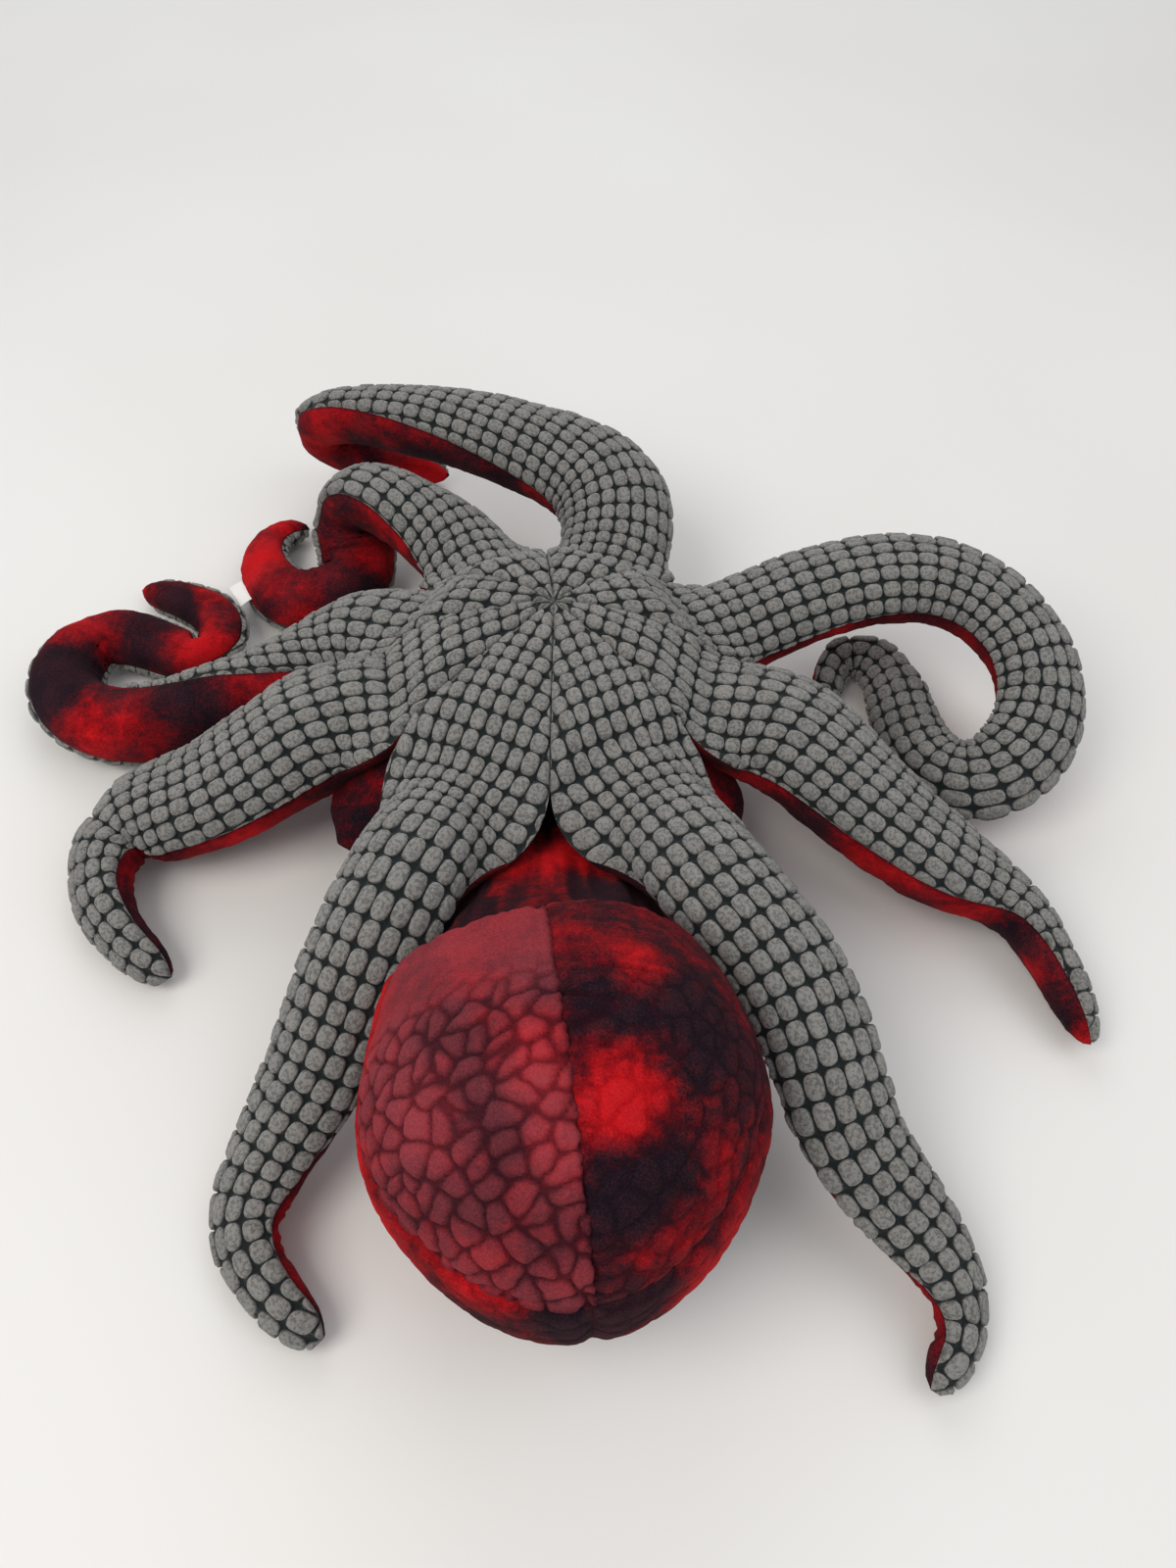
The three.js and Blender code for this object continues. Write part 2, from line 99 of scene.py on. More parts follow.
# Each arm: the way it leaves the crown in degrees, its height there, its fullness, and the points it passes
# from the hub as (x, y, lift of its lower side, twist in degrees), in millimetres
ARMS = {
    "front_left": (-116, 106, 1, [
        (-90, -232, 92, 0), (-104, -266, 95, 0), (-118, -298, 84, 0), (-134, -332, 62, 0),
        (-152, -364, 38, -5), (-172, -392, 20, -15), (-188, -420, 9, -25), (-194, -448, 6, -35),
        (-184, -474, 6, -40), (-163, -496, 6, -40), (-136, -514, 5, -35)]),
    "front_right": (-60, 106, 1, [
        (100, -231, 92, 0), (121, -272, 97, 0), (143, -314, 92, 0), (163, -358, 80, 0),
        (184, -400, 60, 0), (210, -434, 35, 5), (240, -460, 19, 16), (258, -489, 9, 30),
        (256, -519, 7, 45), (233, -543, 6, 50)]),
    "right_front": (-12, 100, 1.25, [
        (192, -102, 56, 8), (228, -136, 40, 16), (264, -167, 30, 22), (303, -190, 21, 26),
        (335, -202, 15, 36), (358, -222, 13, 50), (371, -254, 11, 62), (379, -288, 10, 72),
        (387, -320, 9, 72)]),
    "right_rear": (25, 94, 1, [
        (184, 36, 70, 0), (226, 48, 82, 0), (268, 56, 89, 0), (312, 58, 90, 0), (355, 44, 83, 0),
        (388, 10, 71, 0), (400, -35, 55, -5), (388, -78, 38, -14), (354, -104, 22, -26),
        (319, -94, 11, -40), (303, -56, 6, -45), (302, -12, 6, -45), (299, 30, 6, -45),
        (284, 62, 6, -42), (260, 66, 5, -30), (244, 45, 4, -25), (238, 13, 4, -25)]),
    "rear_right": (71, 86, 1.22, [
        (56, 146, 56, 0), (49, 184, 66, -4), (22, 214, 75, -12), (-26, 238, 82, -24),
        (-84, 262, 88, -38), (-148, 284, 90, -52), (-210, 304, 87, -66), (-243, 318, 70, -74),
        (-242, 332, 38, -72), (-202, 339, 13, -64), (-120, 335, 6, -56)]),
    "rear_left": (114, 86, 1, [
        (-96, 136, 58, -12), (-124, 157, 68, -26), (-152, 175, 75, -38), (-180, 192, 72, -46),
        (-200, 199, 44, -50), (-192, 181, 14, -54), (-194, 152, 7, -60), (-212, 132, 6, -64),
        (-240, 126, 6, -66), (-266, 140, 5, -66), (-287, 171, 5, -66), (-295, 207, 5, -66),
        (-284, 239, 5, -66), (-256, 250, 4, -66)]),
    "left_rear": (155, 92, 1, [
        (-188, 20, 42, -10), (-230, 2, 27, -40), (-274, -20, 16, -75), (-318, -35, 11, -100),
        (-362, -38, 9, -125), (-402, -26, 8, -155), (-431, 2, 7, -180), (-440, 38, 6, -195),
        (-428, 70, 6, -200), (-400, 82, 6, -200), (-368, 71, 6, -200), (-341, 56, 6, -192),
        (-318, 60, 6, -172), (-308, 86, 6, -150), (-322, 116, 6, -140), (-356, 140, 5, -135),
        (-404, 158, 4, -135)]),
    "left_front": (190, 100, 1.28, [
        (-206, -98, 44, -5), (-246, -117, 27, -7), (-286, -128, 16, -8), (-320, -132, 11, -8),
        (-345, -146, 9, -16), (-354, -172, 9, -30), (-348, -201, 8, -40), (-331, -228, 8, -40),
        (-308, -248, 7, -40), (-284, -264, 6, -40)]),
}


def heading(angle):
    """The level direction of an angle, or of each of many."""
    return np.stack([np.cos(angle), np.sin(angle), 0 * angle], -1)


def turn_between(a, b):
    """The turn from one angle to another, at most half a circle either way."""
    return (a - b + math.pi) % (2 * math.pi) - math.pi


def smooth(value):
    """A soft step from 0 to 1."""
    value = np.clip(value, 0, 1)
    return value * value * (3 - 2 * value)


def hump(value, width):
    """A soft hump, 1 at its top."""
    return np.exp(-(value / width) ** 2)


def half_width(share, full):
    """Half an arm's width at a share of its length."""
    taper = 0.25 * share + 0.25 * share ** 2 + 0.5 * share ** 4
    swell = smooth(share / 0.2) - smooth((share - 0.5) / 0.25)
    return (ROOT_HALF_WIDTH + (TIP_HALF_WIDTH - ROOT_HALF_WIDTH) * taper) * (1 + (full - 1) * swell)


def flatness(share):
    return ROOT_FLATNESS + (TIP_FLATNESS - ROOT_FLATNESS) * share


def dome(share, rim):
    """Height of the crown's top at a share of the way from the hub to its rim."""
    return CROWN_TOP + (rim - CROWN_TOP) * np.minimum(share, 1) ** 4


def unit(vectors):
    return vectors / np.maximum(np.linalg.norm(vectors, axis=-1, keepdims=True), 1e-12)


def run_of(points):
    """How far along a line each of its points is."""
    return np.r_[0, np.cumsum(np.linalg.norm(np.diff(points, axis=0), axis=1))]


def along_line(places, run, values):
    """Points or directions at places along a line, from those at each run."""
    return np.stack([np.interp(places, run, values[:, k]) for k in range(3)], 1)


def even_angle(share, flat):
    """Angle from the face that lies a share of the way, by length, to an oval section's side."""
    angles = np.linspace(0, math.pi / 2, 33)
    ratios = np.linspace(0.5, 1.1, 7)
    result = []
    for ratio in ratios:
        steps = np.hypot(np.cos(angles), ratio * np.sin(angles))
        length = np.r_[0, np.cumsum((steps[1:] + steps[:-1]) / 2)]
        result.append(np.interp(np.abs(share), length / length[-1], angles))
    result = np.array(result)
    spot = np.clip((flat - ratios[0]) / (ratios[1] - ratios[0]), 0, len(ratios) - 1.001)
    low = spot.astype(int)
    pick = np.arange(len(share))
    return np.sign(share) * (result[low, pick] * (1 - spot + low) + result[low + 1, pick] * (spot - low))


class Spoke:
    """The seam between two neighbouring gores, from the hub to the rim."""

    def __init__(self, before, after):
        turn = (after[0] - before[0]) % 360
        reach = CROWN_RIM / math.cos(math.radians(turn / 2))
        self.rim = CROWN + heading(math.radians(before[0] + turn / 2)) * reach
        self.top = (before[1] + after[1]) / 2 * MM + RIM_RISE

    def at(self, share):
        share = np.asarray(share)[:, None]
        return HUB + (self.rim - HUB) * share + dome(share, self.top) * UP


ORDER = sorted(ARMS, key=lambda name: ARMS[name][0])
SPOKES = {name: Spoke(ARMS[name], ARMS[ORDER[(i + 1) % len(ORDER)]]) for i, name in enumerate(ORDER)}


class Arm:
    """An arm's middle line from the rim to its tip, and the skin from the hub over its upper side."""
    PLACES = 700
    SPAN_STEPS = 60    # between two of the points that it passes
    BEND_WINDOW = 41    # places over which its bend is evened out
    MARKS = 400    # at which its skin's breadth is measured

    def __init__(self, name):
        leaves, height, self.full, path = ARMS[name]
        self.name = name
        self.out = heading(math.radians(leaves))
        self.start = CROWN + self.out * (CROWN_RIM + ROOT_GAP) + height * MM * UP
        self.gore = np.linalg.norm((self.start - HUB)[:2])
        self.right = SPOKES[ORDER[ORDER.index(name) - 1]]
        self.left = SPOKES[name]
        self.lay(path)
        self.measure()

    def lay(self, path):
        """Lays the middle line, with its sideways and face-up directions, and sizes the sections."""
        lead = self.start + self.out * (ROOT_HALF_WIDTH * ROOT_FLATNESS + ROOT_LEAD)
        points = np.array([self.start, lead] + [HUB + np.array(p[:3]) * MM for p in path])
        twists = np.radians([0, 0] + [p[3] for p in path])
        run = run_of(points)
        for i in range(2, len(points)):
            share = run[i] / run[-1]
            width = half_width(share, self.full)
            points[i, 2] += width * flatness(share)
            away = points[i] - MANTLE_MIDDLE
            least = MANTLE_RADIUS + width + LAY_GAP
            if np.linalg.norm(away) < least:
                points[i] = MANTLE_MIDDLE + unit(away) * least
        pulls = np.vstack([2 * points[0] - points[1], points, 2 * points[-1] - points[-2]])
        k = np.linspace(0, 1, self.SPAN_STEPS, endpoint=False)
        weights = [(1 - k) ** 3, 3 * k ** 3 - 6 * k ** 2 + 4, -3 * k ** 3 + 3 * k ** 2 + 3 * k + 1, k ** 3]
        weights = np.stack(weights, 1) / 6
        line = np.vstack([weights @ pulls[i:i + 4] for i in range(len(points) - 1)] + [points[-1:]])
        turn = np.interp(np.arange(len(line)) / self.SPAN_STEPS, range(len(twists)), twists)
        run = run_of(line)
        self.length = run[-1]
        self.run = np.linspace(0, self.length, self.PLACES)
        self.middle = along_line(self.run, run, line)
        turn = np.interp(self.run, run, turn)
        tangent = unit(np.gradient(self.middle, axis=0))
        face, faces = UP, []
        for along in tangent:
            face = unit(face - along * (face @ along))
            faces.append(face)
        faces = np.array(faces)
        across = np.cross(tangent, faces)
        self.face = faces * np.cos(turn)[:, None] - across * np.sin(turn)[:, None]
        self.side = np.cross(tangent, self.face)
        share = self.run / self.length
        width = half_width(share, self.full)
        thickness = width * flatness(share)
        bend = np.gradient(tangent, axis=0) / (self.run[1] - self.run[0])
        kernel = np.hanning(self.BEND_WINDOW)
        longer = np.pad(bend, ((self.BEND_WINDOW // 2,) * 2, (0, 0)), mode="edge")
        bend = np.stack([np.convolve(longer[:, k], kernel / kernel.sum(), "valid") for k in range(3)], 1)
        to_side, to_face = (bend * self.side).sum(1), (bend * self.face).sum(1)
        room = BEND_ROOM / np.maximum(BEND_ROOM, np.hypot(to_side * width, to_face * thickness))
        strength = np.maximum(np.linalg.norm(bend, axis=1), 1e-6)
        slim = 1 - LOOP_SLIM.get(self.name, 0) * smooth((share - 0.25) / 0.15) * smooth((0.9 - share) / 0.2)
        width, thickness = width * slim, thickness * slim
        self.width = width * room ** (np.abs(to_side) / strength)
        self.thickness = thickness * room ** (np.abs(to_face) / strength)
        self.to_side, self.to_face = to_side, to_face

    def section(self, along):
        """Middle, sideways and face-up directions and half sizes at a distance from the rim."""
        inside = np.clip(along, 0, self.length)
        middle = along_line(inside, self.run, self.middle) + np.minimum(along, 0)[:, None] * self.out
        side, face = (along_line(inside, self.run, values) for values in (self.side, self.face))
        end = np.clip((along - self.length + TIP_ROUND) / TIP_ROUND, 0, 1)
        rounding = np.sqrt(np.maximum(1 - end ** 2, 0))
        width = np.interp(inside, self.run, self.width) * rounding
        thickness = np.interp(inside, self.run, self.thickness) * rounding
        return middle, side, face, width, thickness

    def tube(self, along, across, inset, upper):
        """The arm's plain outline at a distance from the rim, across from -1 to 1 over one of its halves."""
        middle, side, face, width, thickness = self.section(along)
        angle = even_angle(across, thickness / np.maximum(width, 1e-9))
        width = np.maximum(width - inset, 0.3 * width)
        thickness = np.maximum(thickness - inset, 0.3 * thickness) if upper else -thickness
        return middle + side * (width * np.sin(angle))[:, None] + face * (thickness * np.cos(angle))[:, None]

    def upper(self, far, across):
        """The grey skin's ground at a distance from the hub, across from -1 to 1 between its seams."""
        share = np.clip(far / self.gore, 0, 1.3)
        right, left = self.right.at(share), self.left.at(share)
        cap = (right * (1 + across)[:, None] + left * (1 - across)[:, None]) / 2
        swell = CAP_SWELL * smooth(share) * (1 - np.abs(across) ** 2.4)
        cap[:, 2] += swell - GROUND_INSET * 0.6
        # The gore turns into the arm later at its seams than in its middle, and last in a web
        edge = across ** 2
        start = 0.6 + 0.3 * edge
        web = np.clip(WEBS.get(self.name, 0) * across, 0, 1)
        end = 1 + (26 + (48 + 28 * web) * edge) * MM / self.gore
        mix = smooth((far / self.gore - start) / (end - start))[:, None]
        return cap * (1 - mix) + self.tube(far - self.gore, across, GROUND_INSET, True) * mix

    def measure(self):
        """Half the grey skin's breadth along its length, over its curve."""
        self.total = self.gore + self.length
        self.marks = np.linspace(0, self.total, self.MARKS)
        lines = [self.upper(self.marks, np.full(self.MARKS, k)) for k in np.linspace(-1, 1, 25)]
        self.half = np.linalg.norm(np.diff(lines, axis=0), axis=2).sum(0) / 2

    def breadth(self, far):
        return np.interp(far, self.marks, self.half)

    def creases(self, along, across, upper):
        """Folds across the inside of a bend, deeper where it is tight, from 0 to 1."""
        inside = np.clip(along, 0, self.length)
        to_side, to_face = (np.interp(inside, self.run, bend) for bend in (self.to_side, self.to_face))
        angle = across * math.pi / 2
        inner = to_side * np.sin(angle) + to_face * np.cos(angle) * (1 if upper else -1)
        depth = np.clip(inner * 0.034 - 0.2, 0, 1)
        sway = np.sin(along / (37 * MM) * 2 * math.pi) * 1.3
        return depth * (0.5 + 0.5 * np.sin(along / (15 * MM) * 2 * math.pi + 2.2 * across + sway))

    def lower(self, along, across):
        """The red skin from inside the crown to the tip, with its edges on the grey skin's edges."""
        points = self.tube(along, across, BACK_INSET, False)
        for sign in (1.0, -1.0):
            end = np.full(len(along), sign)
            off = self.upper(along + self.gore, end) - self.tube(along, end, BACK_INSET, False)
            points += off * (np.clip(across * sign, 0, 1) ** 1.5)[:, None]
        return points


LINES = {name: Arm(name) for name in ARMS}


class Wire:
    """One socket of a shader, with the sums that a pattern needs."""

    def __init__(self, tree, socket):
        self.tree, self.socket = tree, socket

    def sum(self, operation, *values):
        return self.tree.make("ShaderNodeMath", {"operation": operation}, list(values), 0)

    def __add__(self, other):
        return self.sum("ADD", self, other)

    def __sub__(self, other):
        return self.sum("SUBTRACT", self, other)

    def __mul__(self, other):
        return self.sum("MULTIPLY", self, other)

    __radd__, __rmul__ = __add__, __mul__

    def clamp(self):
        return self.tree.make("ShaderNodeClamp", {}, [self], 0)


class Finish:
    """A material under construction: one method makes every node."""

    def __init__(self, name):
        self.material = bpy.data.materials.new(name)
        self.material.use_nodes = True
        self.nodes = self.material.node_tree.nodes
        self.links = self.material.node_tree.links
        self.shader = next(node for node in self.nodes if node.type == "BSDF_PRINCIPLED")

    def make(self, kind, settings, values, output):
        node = self.nodes.new(kind)
        for key, value in settings.items():
            if key == "stops":
                ramp = node.color_ramp
                while len(ramp.elements) < len(value):
                    ramp.elements.new(0.5)
                for element, (place, colour) in zip(ramp.elements, value):
                    element.position, element.color = place, (*colour, 1)
            else:
                setattr(node, key, value)
        for key, value in values.items() if isinstance(values, dict) else enumerate(values):
            if isinstance(value, Wire):
                self.links.new(value.socket, node.inputs[key])
            else:
                node.inputs[key].default_value = value
        return Wire(self, node.outputs[output])

    def attribute(self, name):
        return self.make("ShaderNodeAttribute", {"attribute_name": name}, [], "Fac")

    def noise(self, scale, detail=3.0, roughness=0.5, distortion=0.0, stretch=(1, 1, 1)):
        place = self.make("ShaderNodeTexCoord", {}, [], "Object")
        place = self.make("ShaderNodeVectorMath", {"operation": "MULTIPLY"}, [place, stretch], 0)
        return self.make("ShaderNodeTexNoise", {}, {"Vector": place, "Scale": scale, "Detail": detail,
                         "Roughness": roughness, "Distortion": distortion}, "Fac")

    def ramp(self, value, stops):
        return self.make("ShaderNodeValToRGB", {"stops": stops}, [value], "Color")

    def blend(self, share, a, b, kind="MIX"):
        colours = [value if isinstance(value, Wire) else (*value, 1) for value in (a, b)]
        return self.make("ShaderNodeMix", {"data_type": "RGBA", "blend_type": kind},
                         {0: share, 6: colours[0], 7: colours[1]}, 2)

    def grey(self, value):
        return self.make("ShaderNodeCombineColor", {}, [value, value, value], 0)

    def bump(self, height, strength, distance):
        return self.make("ShaderNodeBump", {}, {"Strength": strength, "Distance": distance, "Height": height},
                         "Normal")

    def set(self, **values):
        for key, value in values.items():
            socket = self.shader.inputs[key.replace("_", " ")]
            if isinstance(value, Wire):
                self.links.new(value.socket, socket)
            else:
                socket.default_value = value


def open_all():
    """Opens the active piece for editing, with all of it selected."""
    bpy.ops.object.mode_set(mode="EDIT")
    bpy.ops.mesh.select_all(action="SELECT")


def close():
    bpy.ops.object.mode_set(mode="OBJECT")


def clear():
    if bpy.context.active_object and bpy.context.active_object.mode != "OBJECT":
        close()
    bpy.ops.object.select_all(action="DESELECT")


def settle(name):
    """The new active object under its name."""
    piece = bpy.context.active_object
    piece.name = piece.data.name = name
    return piece


def points_of(piece):
    flat = np.zeros(len(piece.data.vertices) * 3)
    piece.data.vertices.foreach_get("co", flat)
    return flat.reshape(-1, 3)


def move_points(piece, points):
    piece.data.vertices.foreach_set("co", np.ascontiguousarray(points, float).ravel())
    piece.data.update()


def lay_down(piece, points, gap=FLOOR_GAP):
    """Moves a piece's points into place, none of them through the floor."""
    points[:, 2] = np.maximum(points[:, 2], gap)
    move_points(piece, points)


def mark(piece, name, values):
    """Stores a value at each point for the finish to read."""
    layer = piece.data.attributes.new(name, "FLOAT", "POINT")
    layer.data.foreach_set("value", np.ascontiguousarray(values, np.float32))


def stain(piece, dye, nap, groove):
    """Marks the dye, the brushed-up nap, which also carries a painted highlight, and the painted shade in grooves,
    seams and folds.
    """
    for name, values in (("dye", dye), ("nap", nap), ("groove", groove)):
        mark(piece, name, values)


def pick_faces(piece, test):
    """Selects the faces that pass the test, and opens the piece for editing."""
    close()
    bpy.context.tool_settings.mesh_select_mode = (False, False, True)
    mesh = piece.data
    for parts in (mesh.vertices, mesh.edges):
        parts.foreach_set("select", np.zeros(len(parts), bool))
    mesh.polygons.foreach_set("select", np.array([bool(test(face)) for face in mesh.polygons]))
    bpy.ops.object.mode_set(mode="EDIT")


def apply_modifier(piece, kind, **settings):
    modifier = piece.modifiers.new(kind.title(), kind)
    for key, value in settings.items():
        setattr(modifier, key, value)
    bpy.context.view_layer.objects.active = piece
    bpy.ops.object.modifier_apply(modifier=modifier.name)


def weld(piece, distance):
    """Joins points that lie together, and turns the faces outward."""
    bpy.context.view_layer.objects.active = piece
    open_all()
    bpy.ops.mesh.remove_doubles(threshold=distance)
    bpy.ops.mesh.dissolve_degenerate(threshold=distance / 2)
    bpy.ops.mesh.select_all(action="SELECT")
    bpy.ops.mesh.normals_make_consistent(inside=False)
    close()
    bpy.ops.object.shade_smooth()


def cloth_strip(name, rows, columns, step, width, start):
    """A flat strip of cloth, with rows along X from start and columns across Y."""
    clear()
    bpy.ops.mesh.primitive_grid_add(x_subdivisions=rows, y_subdivisions=columns, size=1)
    piece = settle(name)
    open_all()
    bpy.ops.transform.resize(value=(rows * step, columns * width, 1))
    bpy.ops.transform.translate(value=(rows * step / 2 + start, 0, 0))
    close()
    return piece


def ball(name, segments, rings):
    """A ball of radius 1 with its poles on the Z axis, to be drawn out into a cushion."""
    clear()
    bpy.ops.mesh.primitive_uv_sphere_add(segments=segments, ring_count=rings, radius=1)
    return settle(name)


def ball_places(piece, pole, up):
    """How far each point of a ball is from pole to pole, from 0 to 1, and its angle round them."""
    points = points_of(piece)
    return np.arccos(np.clip(-points[:, pole], -1, 1)) / math.pi, np.arctan2(points[:, up], points[:, 0])


def noise_shift(seed):
    return Vector((seed * 7.1, seed * 3.3, seed * 1.7))


def wobble(points, scale, seed=0.0):
    """Smooth noise between about -1 and 1 at each point."""
    shift = noise_shift(seed)
    return np.array([noise.noise(Vector(p) * scale + shift) for p in points])


def keep_clear(points, room):
    """Pushes points out of the two front arms, which lie over them."""
    batch, every = 2000, 4
    for arm in (LINES["front_left"], LINES["front_right"]):
        for first in range(0, len(points), batch):
            some = points[first:first + batch]
            near = np.linalg.norm(some[:, None] - arm.middle[None, ::every], axis=2).argmin(1) * every
            off = some - arm.middle[near]
            a, b = (off * arm.side[near]).sum(1), (off * arm.face[near]).sum(1)
            inside = np.hypot(a / (arm.width[near] + room), b / (arm.thickness[near] + room))
            push = np.where(inside < 1, 1 / np.maximum(inside, 0.25), 1) - 1
            some += arm.side[near] * (a * push)[:, None] + arm.face[near] * (b * push)[:, None]
    return points


# The dye's patches per metre, and where their drift along each axis is read from the noise
DYE_SCALE = 13
DRIFTS = [Vector((9.3, -1.5, -8.0)), Vector((0.4, 17.6, 3.7)), Vector((6.3, 0.1, -14.8))]


def dye_at(points, seed, level, blots):
    """How bright the dye is at each point, from 0, black, to 1, bright red."""
    values = np.zeros(len(points))
    shift = noise_shift(seed)
    for i, p in enumerate(points):
        q = Vector(p) * DYE_SCALE + shift
        q += Vector([noise.noise(q * 0.8 + apart) for apart in DRIFTS]) * 0.7
        values[i] = level + 0.4 * noise.noise(q) + 0.22 * noise.noise(q * 2.3)
    for x, y, z, reach, amount in blots:
        away = np.linalg.norm(points - np.array([x, y, z]) * MM, axis=1) / (reach * MM)
        values += amount * np.exp(-away ** 2 * 1.4)
    return np.clip(values, 0, 1)


# Brighter and darker patches of the dye as (x, y, z, reach, amount), in millimetres
ARM_BLOTS = [
    (-208, 398, 110, 34, 0.5), (-167, 390, 95, 30, -0.7), (-105, 350, 95, 36, -0.7), (-27, 296, 90, 40, -0.4),
    (-127, 420, 25, 40, 0.4), (-96, 425, 15, 25, 0.3), (-191, 282, 60, 24, -0.4), (-161, 252, 50, 30, 0.5),
    (-127, 231, 50, 25, -0.2), (-171, 226, 30, 32, -0.6), (-270, 296, 30, 50, 0.35), (-282, 254, 30, 40, 0.45),
    (-225, 322, 20, 24, -0.7), (-228, 207, 30, 30, 0.2), (-410, 98, 40, 42, -0.8), (-419, 164, 40, 34, 0.35),
    (-365, 128, 40, 24, -0.35), (-328, 109, 35, 22, -0.4), (-371, 32, 40, 45, 0.4), (-329, 39, 50, 25, 0.25),
    (-270, 50, 60, 40, -0.6), (-294, 149, 30, 34, 0.6), (-345, 212, 25, 34, -0.55), (-389, 249, 15, 20, 0.5),
    (-303, 92, 30, 20, -0.5), (-170, -55, 60, 36, 0.1), (-215, -70, 50, 36, 0.35), (-255, -80, 40, 28, 0.2),
    (205, -66, 70, 32, -0.5), (253, -100, 60, 36, 0.5), (290, -122, 45, 22, -0.5), (325, -124, 35, 30, 0.4),
    (367, -140, 30, 24, -0.6), (372, -172, 25, 18, 0.45), (384, -205, 20, 20, -0.5), (399, -228, 12, 18, 0.35),
    (-90, -233, 60, 40, 0.3), (-152, -358, 20, 34, 0.35), (-121, -415, 10, 22, -0.5), (155, -268, 90, 60, 0.3),
    (235, -375, 30, 26, -0.6), (253, -405, 20, 22, 0.4), (244, -437, 10, 18, -0.6), (214, 126, 60, 40, 0.5),
    (454, 76, 70, 60, 0.4), (350, 40, 20, 60, 0.3)]
CROWN_BLOTS = [
    (-123, -57, 70, 40, -0.3), (-140, -40, 95, 30, 0.35), (190, -57, 70, 40, -0.2), (166, -64, 85, 30, 0.2)]
NECK_BLOTS = [
    (25, -123, 100, 34, 0.5), (-42, -173, 90, 40, -0.5), (80, -170, 100, 40, -0.5), (54, -131, 105, 22, 0.3),
    (20, -172, 105, 26, 0.25), (-10, -150, 100, 20, 0.3)]

# The mantle's panels: side, upper or lower, strength of the cobbles, nap, level of the dye and its patches
PANELS = {
    "upper_left": (-1, 1, 1.0, 0.62, 0.56, [
        (15, -285, 236, 34, -0.25), (-17, -286, 226, 30, 0.15), (27, -338, 239, 34, 0.3),
        (-2, -359, 228, 22, -0.25), (40, -382, 223, 34, 0.3), (28, -407, 203, 24, -0.25),
        (-64, -338, 191, 40, 0.25), (-51, -352, 203, 24, -0.2)]),
    "upper_right": (1, 1, 0.4, 0.05, 0.36, [
        (79, -272, 223, 26, 0.6), (57, -304, 240, 22, -0.4), (111, -309, 214, 36, -0.4),
        (72, -356, 230, 30, 0.75), (58, -322, 240, 16, 0.25), (76, -392, 209, 32, -0.6),
        (92, -377, 209, 24, -0.3), (122, -368, 189, 26, 0.2), (106, -403, 168, 22, 0.3)]),
    "lower_left": (-1, -1, 0.25, 0.04, 0.74, [
        (-28, -413, 167, 24, -0.6), (28, -436, 151, 26, -0.65), (-3, -423, 172, 24, 0.2),
        (44, -440, 118, 24, -0.8), (-67, -368, 171, 22, -0.5), (-20, -420, 110, 36, -0.3)]),
    "lower_right": (1, -1, 0.35, 0.1, 0.4, [
        (60, -435, 140, 40, -0.6), (73, -431, 160, 30, -0.5), (113, -415, 100, 40, 0.4),
        (142, -376, 114, 40, 0.35), (150, -339, 153, 30, -0.3)]),
}


def size_setting(name, about, default, least, most):
    """A length that a user can change, given in millimetres."""
    return FloatProperty(name=name, description=about, default=default * MM, min=least * MM, max=most * MM,
                         unit="LENGTH")


def colour_setting(name, about, default):
    """A colour that a user can change."""
    return FloatVectorProperty(name=name, description=about, subtype="COLOR", default=default, min=0, max=1)


class OctopusSizes(bpy.types.PropertyGroup):
    """Sizes of the cloth that a user would change."""
    pebble_length: size_setting("Pebble length", "Pitch of the pebbles along an arm", 16.2, 8, 40)
    pebble_width: size_setting("Pebble width", "Pitch of the pebbles across an arm", 12.6, 8, 40)
    pebble_height: size_setting("Pebble height", "How far a pebble stands off its ground", 4.2, 1, 10)
    corner_cut: size_setting("Corner cut", "Size of the dark diamond where pebbles meet", 3.3, 1, 6)
    cobble: size_setting("Cobble", "Size of the cobbles on the mantle", 18, 8, 40)
    cloth: size_setting("Cloth", "Thickness of a cover", 3, 1, 6)


class OctopusColours(bpy.types.PropertyGroup):
    """Colours of the cloth that a user would change."""
    pebble: colour_setting("Pebble", "Pile on the pebbles", (0.205, 0.2, 0.188))
    ground: colour_setting("Ground", "Cloth between the pebbles", (0.012, 0.016, 0.016))
    bright: colour_setting("Bright red", "Brightest dye", (0.5, 0.006, 0.009))
    deep: colour_setting("Deep red", "Middle of the dye", (0.14, 0.004, 0.007))
    black: colour_setting("Black", "Darkest dye", (0.007, 0.006, 0.01))
    # The brushed pile's own paler colour, also laid on lumps and cobble tops as a painted highlight
    nap: colour_setting("Nap", "Brushed pile on the mantle", (0.25, 0.045, 0.058))


# Painted shade, laid in the red pile's grooves, seams and folds
PAINTED_SHADE_TINT = (0.022, 0.003, 0.007)
SHEEN_TINT = (0.8, 0.3, 0.3, 1)
RIBBON_TINTS = [(0.3, (0.74, 0.73, 0.7)), (0.7, (0.86, 0.85, 0.83))]


def sucker_finish():
    """Grey pile in pebbles on dark ground, with pits where the pile parts."""
    colours = bpy.context.scene.octopus_colours
    finish = Finish("sucker_cloth")
    pits = ((finish.noise(420, 2.0, 0.6, 0.5) - 0.4) * 7).clamp()
    nap = finish.noise(1900, 2.0, 0.7)
    bright = finish.attribute("tone") * 0.04 + pits * 0.5 + nap * 0.6 + 0.32
    grey = finish.blend(1.0, tuple(colours.pebble), finish.grey(bright), "MULTIPLY")
    finish.set(Base_Color=finish.blend(finish.attribute("pile"), tuple(colours.ground), grey), Roughness=0.96,
               Sheen_Weight=0.2, Sheen_Roughness=0.5, Specular_IOR_Level=0.12)
    finish.set(Normal=finish.bump(pits * 0.5 + nap * 0.6, 0.6, 0.0012))
    return finish.material


